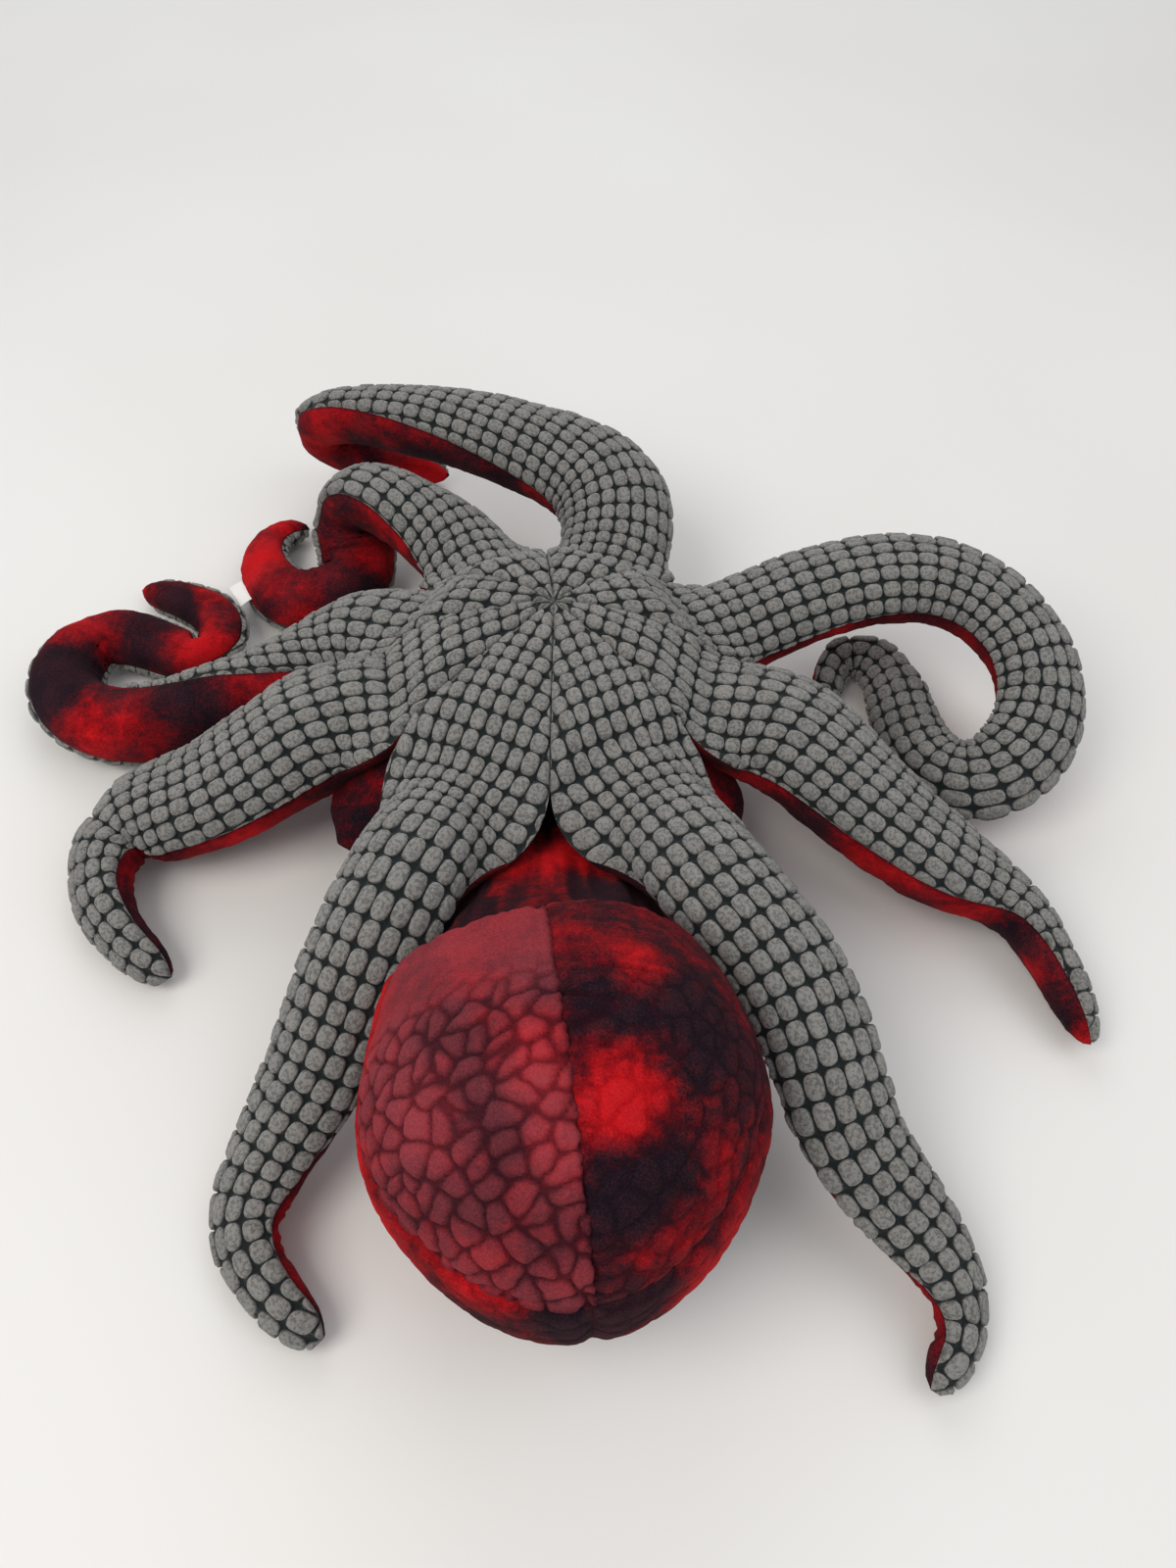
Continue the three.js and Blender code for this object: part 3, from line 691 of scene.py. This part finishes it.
def dyed_finish():
    """Short red pile, dyed in dark patches, with a pale nap where it is brushed up and as a painted highlight on
    its lumps and cobble tops, and painted shade in its grooves, seams and folds; made once.
    """
    made = bpy.data.materials.get("dyed_pile")
    if made:
        return made
    colours = bpy.context.scene.octopus_colours
    finish = Finish("dyed_pile")
    cloud = finish.noise(48, 6.0, 0.66, 0.9)
    streak = finish.noise(40, 4.0, 0.6, 0.5, (0.45, 1.6, 1.3))
    pile = finish.noise(760, 3.0, 0.7)
    mottle = finish.noise(210, 3.0, 0.6, 0.6)
    level = (finish.attribute("dye") + (cloud - 0.5) * 0.9 + (streak - 0.5) * 0.6 + (mottle - 0.5) * 0.45
             + (pile - 0.5) * 0.3)
    black, deep, bright = (np.array(c) for c in (colours.black, colours.deep, colours.bright))
    colour = finish.ramp(level.clamp(), [(0.16, black), (0.36, 0.7 * black + 0.22 * deep), (0.55, deep),
                                         (0.76, 0.3 * deep + 0.5 * bright), (1.0, bright)])
    # The pale nap: the brushed pile's colour, which also carries a painted highlight on lumps and cobble tops
    nap = (finish.attribute("nap") * (0.65 + 0.35 * level) + (pile - 0.5) * 0.35).clamp()
    colour = finish.blend(nap, colour, tuple(colours.nap))
    # Painted shade darkens the grooves, seams and folds
    colour = finish.blend(finish.attribute("groove"), colour, PAINTED_SHADE_TINT)
    colour = finish.blend(1.0, colour, finish.grey(pile * 0.9 + 0.55), "MULTIPLY")
    finish.set(Base_Color=colour, Roughness=0.95, Sheen_Weight=0.05, Sheen_Roughness=0.4,
               Sheen_Tint=SHEEN_TINT, Specular_IOR_Level=0.06)
    finish.set(Normal=finish.bump(pile * 0.9 + cloud * 0.3, 0.7, 0.0014))
    return finish.material


def label_finish():
    """White woven ribbon, bare."""
    finish = Finish("label_ribbon")
    weave = finish.noise(2400, 1.0)
    finish.set(Base_Color=finish.ramp(weave, RIBBON_TINTS), Roughness=0.55)
    finish.set(Normal=finish.bump(weave, 0.3, 0.0003))
    return finish.material


def dress(piece, material, slot, *nodes):
    """Gives a padded piece its finish and hides the solids that it stands for."""
    piece.data.materials.clear()
    piece.data.materials.append(material)
    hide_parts(*nodes)


def follow_arm(piece):
    """Bakes a skin's placement into its points."""
    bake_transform(piece)


class OCTOPUS_OT_stage(bpy.types.Operator):
    """Lays the pale sheet, the soft lights and the camera"""
    bl_idname = "octopus.stage"
    bl_label = "Stage"
    SHEET_SIZE, SHEET_PLACE = 12, (0, 2, -0.5 * MM)
    SHEET_TINTS = [(0.3, (0.74, 0.72, 0.69)), (0.7, (0.78, 0.77, 0.75))]
    SKY_TINT, SKY_STRENGTH = (0.95, 0.97, 1.0, 1), 0.58
    # Each lamp's name, place, size, power and tint
    LAMPS = [("key", (-1.3, -1.1, 2.3), 1.6, 38, (1.0, 0.96, 0.9)),
             ("fill", (1.6, -0.4, 2.2), 2.0, 14, (0.95, 0.97, 1.0)),
             ("back", (-0.3, 2.6, 2.4), 2.2, 24, (0.96, 0.98, 1.0))]
    CAMERA_PLACE = (HUB[0] + 0.027, HUB[1] - 0.691, 0.797)
    CAMERA_TILT = math.radians(38)
    CAMERA_WIDTH, CAMERA_LENS = 36, 27

    def execute(self, context):
        clear()
        bpy.ops.mesh.primitive_plane_add(size=self.SHEET_SIZE, location=self.SHEET_PLACE)
        floor = settle("pale_sheet")
        bpy.ops.object.transform_apply(location=True, rotation=True, scale=True)
        finish = Finish("pale_sheet")
        finish.set(Base_Color=finish.ramp(finish.noise(1.2, 2.0), self.SHEET_TINTS), Roughness=0.8)
        floor.data.materials.append(finish.material)
        world = bpy.data.worlds.new("studio")
        world.use_nodes = True
        sky = world.node_tree.nodes["Background"].inputs
        sky["Color"].default_value, sky["Strength"].default_value = self.SKY_TINT, self.SKY_STRENGTH
        context.scene.world = world
        for name, place, size, power, tint in self.LAMPS:
            bpy.ops.object.light_add(type="AREA", location=place)
            lamp = bpy.context.active_object
            lamp.name = name
            lamp.data.size, lamp.data.energy, lamp.data.color = size, power, tint
            aim = Vector((0, place[1] * 0.3, 0.05)) - Vector(place)
            lamp.rotation_euler = aim.to_track_quat("-Z", "Y").to_euler()
        bpy.ops.object.camera_add(location=self.CAMERA_PLACE, rotation=(self.CAMERA_TILT, 0, 0))
        camera = bpy.context.active_object
        camera.data.sensor_width, camera.data.lens = self.CAMERA_WIDTH, self.CAMERA_LENS
        context.scene.camera = camera
        context.scene.view_settings.view_transform = "Standard"
        return {"FINISHED"}


class OCTOPUS_OT_suckers(bpy.types.Operator):
    """Sews the grey pebbled skins, each from the hub over one arm to its tip"""
    bl_idname = "octopus.suckers"
    bl_label = "Sucker skins"
    FIRST_SEED = 40
    SPARE = 3 * MM    # cloth beyond a seam, to be taken up
    EDGE, TOP_EDGE = 0.7 * MM, 1.7 * MM    # from a pebble's foot in to its shoulder, and on to its top
    SHOULDER, TOP = 0.84, 0.28    # heights of these two steps, as shares of the pebble's
    SHARPNESS = 0.85    # of the shoulder
    SLIP_ALONG, SLIP_ACROSS = 0.4 * MM, 0.35 * MM    # of a pebble from its place
    RAGGED, RAGGED_SCALE = 0.45 * MM, 310    # of the pebbles' edges
    SEAM_ROOM, TIP_ROOM, HUB_ROOM = 3.5 * MM, 5 * MM, 6 * MM    # in which the cloth runs down to its edge
    NEAR_ALONG, NEAR_ACROSS = 0.4 * MM, 0.01    # steps from which the cloth's slope is taken
    WELD = 0.12 * MM

    def execute(self, context):
        material = sucker_finish()
        for number, arm in enumerate(LINES.values()):
            piece = self.cut(arm)
            self.wrap(piece, arm, np.random.default_rng(self.FIRST_SEED + number))
            weld(piece, self.WELD)
            dress(piece, material, "sucker_cloth", f"gore_{arm.name}", f"{arm.name}_suckers")
            follow_arm(piece)
        return {"FINISHED"}

    def cut(self, arm):
        """A flat strip with its pebbles raised."""
        sizes = bpy.context.scene.octopus_sizes
        step, width, cloth, tall = sizes.pebble_length, sizes.pebble_width, sizes.cloth, sizes.pebble_height
        rows = math.ceil(arm.total / step) + 2
        columns = 2 * (math.ceil(arm.half.max() / width) + 1)
        piece = cloth_strip(f"{arm.name}_sucker_skin", rows, columns, step, width, -step)
        around = np.linspace(-step, step, 5)
        pick_faces(piece, lambda face: abs(face.center.y) - width / 2
                   > arm.breadth(face.center.x + around).max() + self.SPARE)
        bpy.ops.mesh.delete(type="FACE")
        bpy.ops.mesh.select_all(action="SELECT")
        bpy.ops.mesh.extrude_region_move(TRANSFORM_OT_translate={"value": (0, 0, cloth)})
        bpy.ops.mesh.bevel(offset=sizes.corner_cut, offset_type="OFFSET", affect="VERTICES", segments=1)
        # Pebbles have eight corners, the diamonds between them four
        pick_faces(piece, lambda face: face.normal.z > 0.9 and face.center.z > cloth / 2 and face.loop_total > 5)
        bpy.ops.mesh.inset(thickness=self.EDGE, depth=self.SHOULDER * tall, use_individual=True)
        bpy.ops.transform.edge_crease(value=self.SHARPNESS)
        bpy.ops.mesh.inset(thickness=self.TOP_EDGE, depth=self.TOP * tall, use_individual=True)
        close()
        apply_modifier(piece, "SUBSURF", levels=1, render_levels=1)
        return piece

    def wrap(self, piece, arm, chance):
        """Lays the flat pebbled strip over the gore and the arm, and takes up what passes the seams."""
        sizes = bpy.context.scene.octopus_sizes
        step, width, cloth, tall = sizes.pebble_length, sizes.pebble_width, sizes.cloth, sizes.pebble_height
        flat = points_of(piece)
        level = flat * (1 - UP)
        stand = flat[:, 2] - cloth
        on_pebble = np.clip(stand / tall, 0, 1)
        row = np.floor(flat[:, 0] / step).astype(int)
        column = np.floor(flat[:, 1] / width).astype(int)
        table = np.clip(chance.normal(0, 1, (4, row.max() + 6, 90)), -2, 2)
        slip_along, slip_across, taller, tone = table[:, row + 3, column + 45]
        u, v = 2 * (flat[:, 0] / step - row) - 1, 2 * (flat[:, 1] / width - column) - 1
        far = slip_along * self.SLIP_ALONG + u * (0.03 * v ** 2 + 0.03) * step / 2
        far += self.RAGGED * wobble(level, self.RAGGED_SCALE, 5)
        side = slip_across * self.SLIP_ACROSS + v * (0.04 * u ** 2 + 0.02) * width / 2
        side += self.RAGGED * wobble(level, self.RAGGED_SCALE, 9)
        far = np.clip(flat[:, 0] + on_pebble * far, 0, arm.total)
        side = flat[:, 1] + on_pebble * side
        limit = np.maximum(arm.breadth(far), 0.2 * MM)
        across = np.clip(side / limit, -1, 1)
        room = smooth((limit - np.abs(np.clip(side, -limit, limit))) / self.SEAM_ROOM)
        room *= smooth((arm.total - far) / self.TIP_ROOM) * smooth(far / self.HUB_ROOM)
        base, out = self.ground(arm, far, across)
        rough = 0.5 * MM * wobble(level, 420, arm.total) * on_pebble
        lump = 1.6 * MM * wobble(base, 24, 3)
        rise = np.where(stand > -0.5 * cloth, stand * (1 + 0.08 * taller) + rough, -cloth)
        along = far - arm.gore
        rim_fold = hump(along + 6 * MM + 9 * MM * np.sin(2.4 * across + arm.total * 90), 7 * MM)
        sink = (3.2 * arm.creases(along, across, True) + 3.0 * rim_fold * (1 - across ** 4)) * MM
        move_points(piece, base + out * ((rise - sink + lump) * room)[:, None])
        mark(piece, "pile", smooth((stand / tall - 0.42) / 0.3))
        mark(piece, "tone", tone)

    def ground(self, arm, far, across):
        """Places on the ground between the pebbles, and the way out of it."""
        def spot(along, over):
            return arm.upper(np.clip(far + along, 0, arm.total), np.clip(across + over, -1, 1))

        over = spot(0, self.NEAR_ACROSS) - spot(0, -self.NEAR_ACROSS)
        out = unit(np.cross(over, spot(self.NEAR_ALONG, 0) - spot(-self.NEAR_ALONG, 0)))
        out *= np.sign((out * arm.section(far - arm.gore)[2]).sum(1) + 0.05)[:, None]
        return spot(0, 0), out


class OCTOPUS_OT_backs(bpy.types.Operator):
    """Sews the dyed red skins on the arms' other sides"""
    bl_idname = "octopus.backs"
    bl_label = "Back skins"
    FIRST_SEED = 3
    STEP, COLUMNS = 4.5 * MM, 30    # of the cloth's faces
    ROOT_SHARE = 0.3    # of the gore, for which a skin goes on into the crown
    DYE_LEVEL = 0.52
    SEAM_ROOM, TIP_ROOM = 0.14, 8 * MM    # in which the cloth runs down to its edge
    WELD = 0.1 * MM

    def execute(self, context):
        material = dyed_finish()
        for number, arm in enumerate(LINES.values()):
            piece = self.sew(arm, number)
            dress(piece, material, "back_cloth", f"{arm.name}_back", f"{arm.name}_filling")
            follow_arm(piece)
        return {"FINISHED"}

    def sew(self, arm, number):
        """A strip of cloth laid round the arm's lower side."""
        cloth = bpy.context.scene.octopus_sizes.cloth
        start = -self.ROOT_SHARE * arm.gore
        rows = math.ceil((arm.length - start) / self.STEP)
        piece = cloth_strip(f"{arm.name}_back_skin", rows, self.COLUMNS, self.STEP, 2 / self.COLUMNS, start)
        open_all()
        bpy.ops.mesh.extrude_region_move(TRANSFORM_OT_translate={"value": (0, 0, cloth)})
        close()
        flat = points_of(piece)
        along = np.clip(flat[:, 0], start, arm.length)
        across = np.clip(flat[:, 1], -1, 1)
        base = arm.lower(along, across)
        _, side, face, width, thickness = arm.section(along)
        angle = across * math.pi / 2
        out = unit(side * (np.sin(angle) / np.maximum(width, 1e-4))[:, None]
                   - face * (np.cos(angle) / np.maximum(thickness, 1e-4))[:, None])
        lump = wobble(base, 38, number)
        creases = arm.creases(along, across, False)
        to_seam = 1 - np.abs(across)
        room = smooth(to_seam / self.SEAM_ROOM) * smooth((arm.length - along) / self.TIP_ROOM)
        rise = (1.5 * lump + 0.9 * wobble(base, 150) - 4.5 * creases) * MM
        rise = np.where(flat[:, 2] > cloth / 2, -cloth, rise) * room
        points = base + out * rise[:, None]
        lay_down(piece, points)
        # The paler nap on the outward lumps is a painted highlight; the darkening along the seams and in the
        # creases is painted shade
        stain(piece, dye_at(points, self.FIRST_SEED + number, self.DYE_LEVEL, ARM_BLOTS),
              np.clip(0.06 + 0.12 * lump, 0, 1), 0.35 * (1 - smooth(to_seam / 0.05)) + 0.35 * creases)
        weld(piece, self.WELD)
        return piece


class OCTOPUS_OT_crown(bpy.types.Operator):
    """Fills the crown's underside: a red cushion with a flat foot, under the grey gores"""
    bl_idname = "octopus.crown"
    bl_label = "Crown"
    # From the foot's middle to the hub: the place, its reach towards the rim, and its rise
    PROFILE = np.array([(0, 0, 0), (0.16, 0.52, 0), (0.26, 0.72, 0.03), (0.36, 0.9, 0.16), (0.46, 0.985, 0.36),
                        (0.56, 1, 0.58), (0.66, 0.99, 0.8), (0.74, 0.95, 0.93), (0.8, 0.86, 1), (1, 0, 1)])
    SHOULDER = 0.8    # the place above which the cushion follows the gores
    UNDER, INSIDE = 10 * MM, 4 * MM    # how far it stays under the gores and inside the rim
    BULGES = [(212, 66), (-35, 52)]    # where the side swells between two arms, in degrees, and how far
    DYE_SEED, DYE_LEVEL = 21, 0.3

    def execute(self, context):
        piece = ball("crown_cushion", 176, 72)
        place, way = ball_places(piece, 2, 1)
        rim, top = self.rim(way)
        reach, rise = (np.interp(place, self.PROFILE[:, 0], self.PROFILE[:, k]) for k in (1, 2))
        middle = CROWN + (HUB - CROWN) * smooth((place - 0.55) / 0.3)[:, None]
        points = middle + (rim - middle) * reach[:, None]
        points[:, 2] = np.where(place < self.SHOULDER, rise * (top - self.UNDER), dome(reach, top) - self.UNDER)
        folds = wobble(np.stack([np.cos(way) * 4, np.sin(way) * 4, place * 1.5], 1), 2.2)
        folds *= hump(place - 0.55, 0.2)
        points[:, :2] += (unit(points - CROWN) * (folds * 5 * MM)[:, None])[:, :2]
        for degrees, size in self.BULGES:
            turn = turn_between(way, math.radians(degrees))
            bulge = size * MM * np.exp(-(turn / 0.3) ** 4) * hump(place - 0.5, 0.15)
            points += heading(way) * bulge[:, None]
        lay_down(piece, points)
        # The darkening in the fold valleys is painted shade
        stain(piece, dye_at(points, self.DYE_SEED, self.DYE_LEVEL, CROWN_BLOTS), np.zeros(len(points)),
              np.clip(-folds, 0, 1) * 0.6)
        bpy.ops.object.shade_smooth()
        dress(piece, dyed_finish(), "back_cloth", "crown_back_cover", "crown_filling")
        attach(piece, "crown")
        return {"FINISHED"}

    def rim(self, way):
        """The rim's place and height round the crown."""
        sides = np.radians([ARMS[name][0] for name in ORDER])
        turn = turn_between(way[:, None], sides[None])
        reach = ((CROWN_RIM - self.INSIDE) / np.maximum(np.cos(turn), 0.2)).min(1)
        corners = [SPOKES[name] for name in ORDER]
        angles = [math.atan2(*(corner.rim - CROWN)[1::-1]) for corner in corners]
        top = np.interp(way, angles, [corner.top for corner in corners], period=2 * math.pi)
        return CROWN + heading(way) * reach[:, None], top


class OCTOPUS_OT_neck(bpy.types.Operator):
    """Gathers the neck between the crown and the mantle"""
    bl_idname = "octopus.neck"
    bl_label = "Neck"
    # Share of the way to the mantle, half width, half height and the middle's height, in millimetres
    RINGS = np.array([(0, 60, 40, 44), (0.3, 68, 44, 50), (0.6, 84, 52, 62), (0.85, 94, 66, 88), (1, 88, 79, 110)])
    CAP = 0.06    # share of the ball that closes each end
    ROOT = 60 * MM    # how far it goes into the crown
    HOLLOW, CLEAR = 3 * MM, 1 * MM    # room round the front arms, before and after it is smoothed
    DYE_SEED, DYE_LEVEL = 31, 0.3

    def execute(self, context):
        piece = ball("gathered_neck", 192, 80)
        place, way = ball_places(piece, 2, 1)
        share = np.clip((place - self.CAP) / (1 - 2 * self.CAP), 0, 1)
        full = np.sqrt(np.clip(np.minimum(place, 1 - place) / self.CAP, 0, 1))
        wide, high, level = (np.interp(share, self.RINGS[:, 0], self.RINGS[:, k]) * MM for k in (1, 2, 3))
        start = CROWN + np.array([0, self.ROOT - CROWN_RIM, 0])
        end = mantle_place(np.array([[0, NECK_PLACE - NECK_TUCK, 0]]))[0]
        middle = start + (end - start) * share[:, None]
        middle[:, 2] = level
        over = np.stack([np.cos(way) * 5, np.sin(way) * 5, share * 2.2], 1)
        folds = 0.5 - 1.6 * np.abs(wobble(over, 1.3)) + 0.4 * wobble(over, 3.1, 5)
        gather = 1 + folds * (0.04 + 0.07 * smooth((share - 0.2) / 0.6)) * smooth((1 - share) / 0.06)
        across, rise = (half * full * gather for half in (wide * np.cos(way), high * np.sin(way)))
        points = middle + heading(share * MANTLE_TURN) * across[:, None] + UP * rise[:, None]
        move_points(piece, keep_clear(points, self.HOLLOW))
        apply_modifier(piece, "SMOOTH", factor=0.5, iterations=9)
        points = keep_clear(points_of(piece), self.CLEAR)
        lay_down(piece, points, 1 * MM)
        # Lightening on the ridges of the gathers is a painted highlight, and the darkening in their valleys is
        # painted shade
        dye = dye_at(points, self.DYE_SEED, self.DYE_LEVEL, NECK_BLOTS) + 0.35 * folds
        stain(piece, dye, np.zeros(len(points)), np.clip(-folds * 0.9, 0, 0.8))
        bpy.ops.object.shade_smooth()
        dress(piece, dyed_finish(), "back_cloth", "neck")
        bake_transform(piece)
        return {"FINISHED"}


def mantle_place(points):
    """From the mantle's own axes, Y towards the neck, to the frame."""
    across, along = heading(MANTLE_TURN), heading(MANTLE_TURN + math.pi / 2)
    return points[:, :1] * across + points[:, 1:2] * along + points[:, 2:] * UP + MANTLE_MIDDLE


class OCTOPUS_OT_mantle(bpy.types.Operator):
    """Sews the mantle from four panels, embossed with cobbles"""
    bl_idname = "octopus.mantle"
    bl_label = "Mantle"
    MOUTH, MOUTH_ANGLE = 0.92, math.acos(-0.86)    # where the bag ends and its neck is drawn shut
    SEED = 7
    SLANT, SLANT_WAY = 0.28, unit(np.array([0.75, 0.5, 0.1]))    # how far the cobbles are drawn out, and where
    ROUNDING = 2 * MM    # of the corners where three cobbles meet
    CLEAR = 1.5 * MM    # room round the front arms
    DYE_SEED = 11
    WELD = 0.05 * MM

    def execute(self, context):
        material = dyed_finish()
        seeds = self.seeds()
        for name, (side, level, *looks) in PANELS.items():
            piece = self.bag(f"mantle_{name}_panel")
            self.cut(piece, side, level)
            self.emboss(piece, name, seeds, *looks)
            apply_modifier(piece, "SOLIDIFY", thickness=bpy.context.scene.octopus_sizes.cloth, offset=-1)
            weld(piece, self.WELD)
            nodes = [f"mantle_{name}"] + (["mantle_filling"] if name == "lower_left" else [])
            dress(piece, material, "back_cloth", *nodes)
            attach(piece, "mantle")
        return {"FINISHED"}

    def bag(self, name):
        """The whole bag on its own axes, narrowed towards its neck."""
        piece = ball(name, 240, 140)
        open_all()
        bpy.ops.transform.rotate(value=math.pi / 2, orient_axis="X", center_override=(0, 0, 0))
        close()
        place, way = ball_places(piece, 1, 2)
        angle = np.minimum(place / self.MOUTH, 1) * self.MOUTH_ANGLE
        along = -1.005 * np.cos(angle)
        wide = np.sin(angle) * (1 + 0.235 * np.clip((along - 0.3) / 0.56, 0, 1) ** 4)
        wide *= np.clip((1 - place) / (1 - self.MOUTH), 0, 1) ** 0.5
        low = np.clip(-np.sin(way), 0, 1)
        broad = 1 + 0.14 * smooth((along - 0.2) / 0.66) - 0.08 * smooth((-0.1 - along) / 0.7)
        broad *= 1 + 0.05 * low ** 2 * (1 - low)
        rise = np.sin(way) * wide * MANTLE_SAG
        move_points(piece, np.stack([np.cos(way) * wide * broad, along, rise], 1) * MANTLE_RADIUS)
        return piece

    def cut(self, piece, side, level):
        """Keeps one quarter of the bag, and gives the embossed quarters closer faces."""
        for place, way in (((0, 0, 0), (side, 0, 0)), ((0, 0, CROSS_SEAM), (0, 0, level))):
            open_all()
            bpy.ops.mesh.bisect(plane_co=place, plane_no=way, clear_inner=True)
        if level > 0:
            bpy.ops.mesh.select_all(action="SELECT")
            bpy.ops.mesh.subdivide(number_cuts=1)
        close()

    def seeds(self):
        """Middles of the cobbles, spread over the bag and drawn out on the slant."""
        size = bpy.context.scene.octopus_sizes.cobble / MANTLE_RADIUS
        count = int(4 * math.pi / (0.8 * size ** 2))
        chance = np.random.default_rng(self.SEED)
        i = np.arange(count) + 0.5
        z = 1 - 2 * i / count
        turn = math.pi * (1 + 5 ** 0.5) * i
        spread = heading(turn) * np.sqrt(1 - z * z)[:, None] + UP * z[:, None]
        spread = unit(spread + chance.normal(0, 0.3 * size, spread.shape)) * MANTLE_RADIUS
        tree = kdtree.KDTree(count)
        for k, point in enumerate(self.slant(spread)):
            tree.insert(point, k)
        tree.balance()
        return tree

    def slant(self, points):
        return points - self.SLANT * self.SLANT_WAY * (points @ self.SLANT_WAY)[:, None]

    def cobbles(self, points, tree):
        """How far each point is from the nearest gap between cobbles, and its cobble's own shade."""
        bent = [wobble(points, 60, k) * 2.5 + wobble(points, 150, k) * 1.4 for k in (1, 2, 3)]
        bent = self.slant(points + np.stack(bent, 1) * MM)
        near = np.array([[(hit[1], hit[2]) for hit in tree.find_n(p, 3)] for p in bent])
        apart = (near[:, 1:, 1] - near[:, :1, 1]) / self.ROUNDING
        gaps = np.clip(-np.log(np.exp(-apart).sum(1)), 0, 9) * self.ROUNDING
        return gaps, np.sin(near[:, 0, 0] * 12.9898) * 0.5

    def emboss(self, piece, name, tree, cobbles, brushed, dye, blots):
        """Raises a panel's cobbles and sinks its seams and folds, then dyes it, with painted highlight on the
        cobble tops and painted shade in the grooves, seams and folds.
        """
        points = points_of(piece)
        out = unit(points * np.array([1, 1, 1 / MANTLE_SAG ** 2]))
        gaps, shade = self.cobbles(points, tree)
        along = points[:, 1] / MANTLE_RADIUS
        strength = cobbles * smooth((0.46 - along) / 0.3)
        to_seam = np.minimum(np.abs(points[:, 0]), np.abs(points[:, 2] - CROSS_SEAM))
        swell = 1 - np.exp(-gaps / (3.4 * MM))
        lump = wobble(points, 22, 4)
        gathers = wobble(points[:, [0, 2, 1]] * np.array([130, 130, 18]), 1, 9)
        rise = (swell * 3.0 - hump(gaps, 1.4 * MM) * 0.6 - 0.8) * strength
        rise += lump * 1.2 + wobble(points, 160, 2) * 0.25 + 3.2 * wobble(points, 10, 3)
        rise += gathers * 2.4 * smooth((along - 0.4) / 0.4)
        rise -= 3.5 * hump(to_seam, 6 * MM) + 4 * hump(along - 0.86, 0.06)
        folds = np.zeros(len(points))
        if name == "upper_right":
            folds = np.clip(1 - 7 * np.abs(wobble(points * np.array([0.4, 1.5, 1.5]), 26, 8)), 0, 1)
            folds *= smooth((75 * MM - points[:, 0]) / (40 * MM))
            folds *= smooth((along + 0.25) / 0.2) * smooth((0.6 - along) / 0.2)
            rise -= 2.6 * folds
        if name == "upper_left":    # its edge is turned up along the seams
            rise += 2.2 * hump(to_seam, 2 * MM)
            points[:, 0] += np.where(np.abs(points[:, 0]) < 2 * MM, 1.2 + wobble(points, 230, 6) * 1.6, 0) * MM
        points = keep_clear(mantle_place(points + out * (rise * MM)[:, None]), self.CLEAR)
        lay_down(piece, points)
        # The dye and the nap are lighter on the cobbles' tops and on outward lumps, a painted highlight, and
        # darker towards the grooves, painted shade; grooves, folds and seams get painted shade too
        dye = dye_at(points, self.DYE_SEED, dye, blots) + strength * (0.13 * shade + 0.12 * swell - 0.08)
        nap = np.clip(brushed * (1 + 0.5 * lump) + 0.3 * strength * (swell - 0.5), 0, 0.9)
        groove = 0.6 * strength * hump(gaps, 1.35 * MM) + 0.45 * folds + 0.5 * hump(to_seam, 1.5 * MM)
        stain(piece, dye, nap, np.clip(groove, 0, 0.85))


class OCTOPUS_OT_label(bpy.types.Operator):
    """Sews the folded ribbon label into the rear left arm's seam"""
    bl_idname = "octopus.label"
    bl_label = "Label"
    DEEP, WIDE = 14, 30    # the ribbon's size in millimetres, and its rows and columns of faces
    RIBBON, WELD = 0.7 * MM, 0.02 * MM

    def execute(self, context):
        middle = sum(np.array(corner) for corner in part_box("care_label")) / 2
        line = LINES["rear_left"].middle
        root = line[np.linalg.norm((line - middle)[:, :2], axis=1).argmin()]
        out = unit((middle - root) * (1 - UP))
        piece = cloth_strip("care_label_ribbon", self.DEEP, self.WIDE, 1 / self.DEEP, 1 / self.WIDE, 0)
        x, y, _ = points_of(piece).T
        lie = (1.5 - 3.5 * x ** 2 + 0.8 * np.sin(5 * y + 2 * x)) * MM
        points = middle + out * ((x - 0.56) * self.DEEP * MM)[:, None] + UP * lie[:, None]
        move_points(piece, points + np.cross(UP, out) * (y * self.WIDE * MM)[:, None])
        apply_modifier(piece, "SOLIDIFY", thickness=self.RIBBON, offset=0)
        weld(piece, self.WELD)
        piece.data.materials.append(label_finish())
        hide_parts("care_label")
        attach(piece, "rear_left_arm")
        return {"FINISHED"}


class OCTOPUS_PT_panel(bpy.types.Panel):
    """The octopus's pieces, in the order in which they are made"""
    bl_idname = "OCTOPUS_PT_panel"
    bl_label = "Octopus"
    bl_space_type = "VIEW_3D"
    bl_region_type = "UI"
    bl_category = "Octopus"

    def draw(self, context):
        for operator in OPERATORS:
            self.layout.operator(operator.bl_idname)
        for group in (context.scene.octopus_sizes, context.scene.octopus_colours):
            for key in group.__annotations__:
                self.layout.prop(group, key)


OPERATORS = (OCTOPUS_OT_stage, OCTOPUS_OT_suckers, OCTOPUS_OT_backs, OCTOPUS_OT_crown, OCTOPUS_OT_neck,
             OCTOPUS_OT_mantle, OCTOPUS_OT_label)
CLASSES = (OctopusSizes, OctopusColours, *OPERATORS, OCTOPUS_PT_panel)


def register():
    for entry in CLASSES:
        bpy.utils.register_class(entry)
    bpy.types.Scene.octopus_sizes = PointerProperty(type=OctopusSizes)
    bpy.types.Scene.octopus_colours = PointerProperty(type=OctopusColours)


def unregister():
    del bpy.types.Scene.octopus_colours
    del bpy.types.Scene.octopus_sizes
    for entry in reversed(CLASSES):
        bpy.utils.unregister_class(entry)


def main():
    register()
    for operator in OPERATORS:
        group, name = operator.bl_idname.split(".")
        getattr(getattr(bpy.ops, group), name)()


if __name__ == "__main__":
    main()
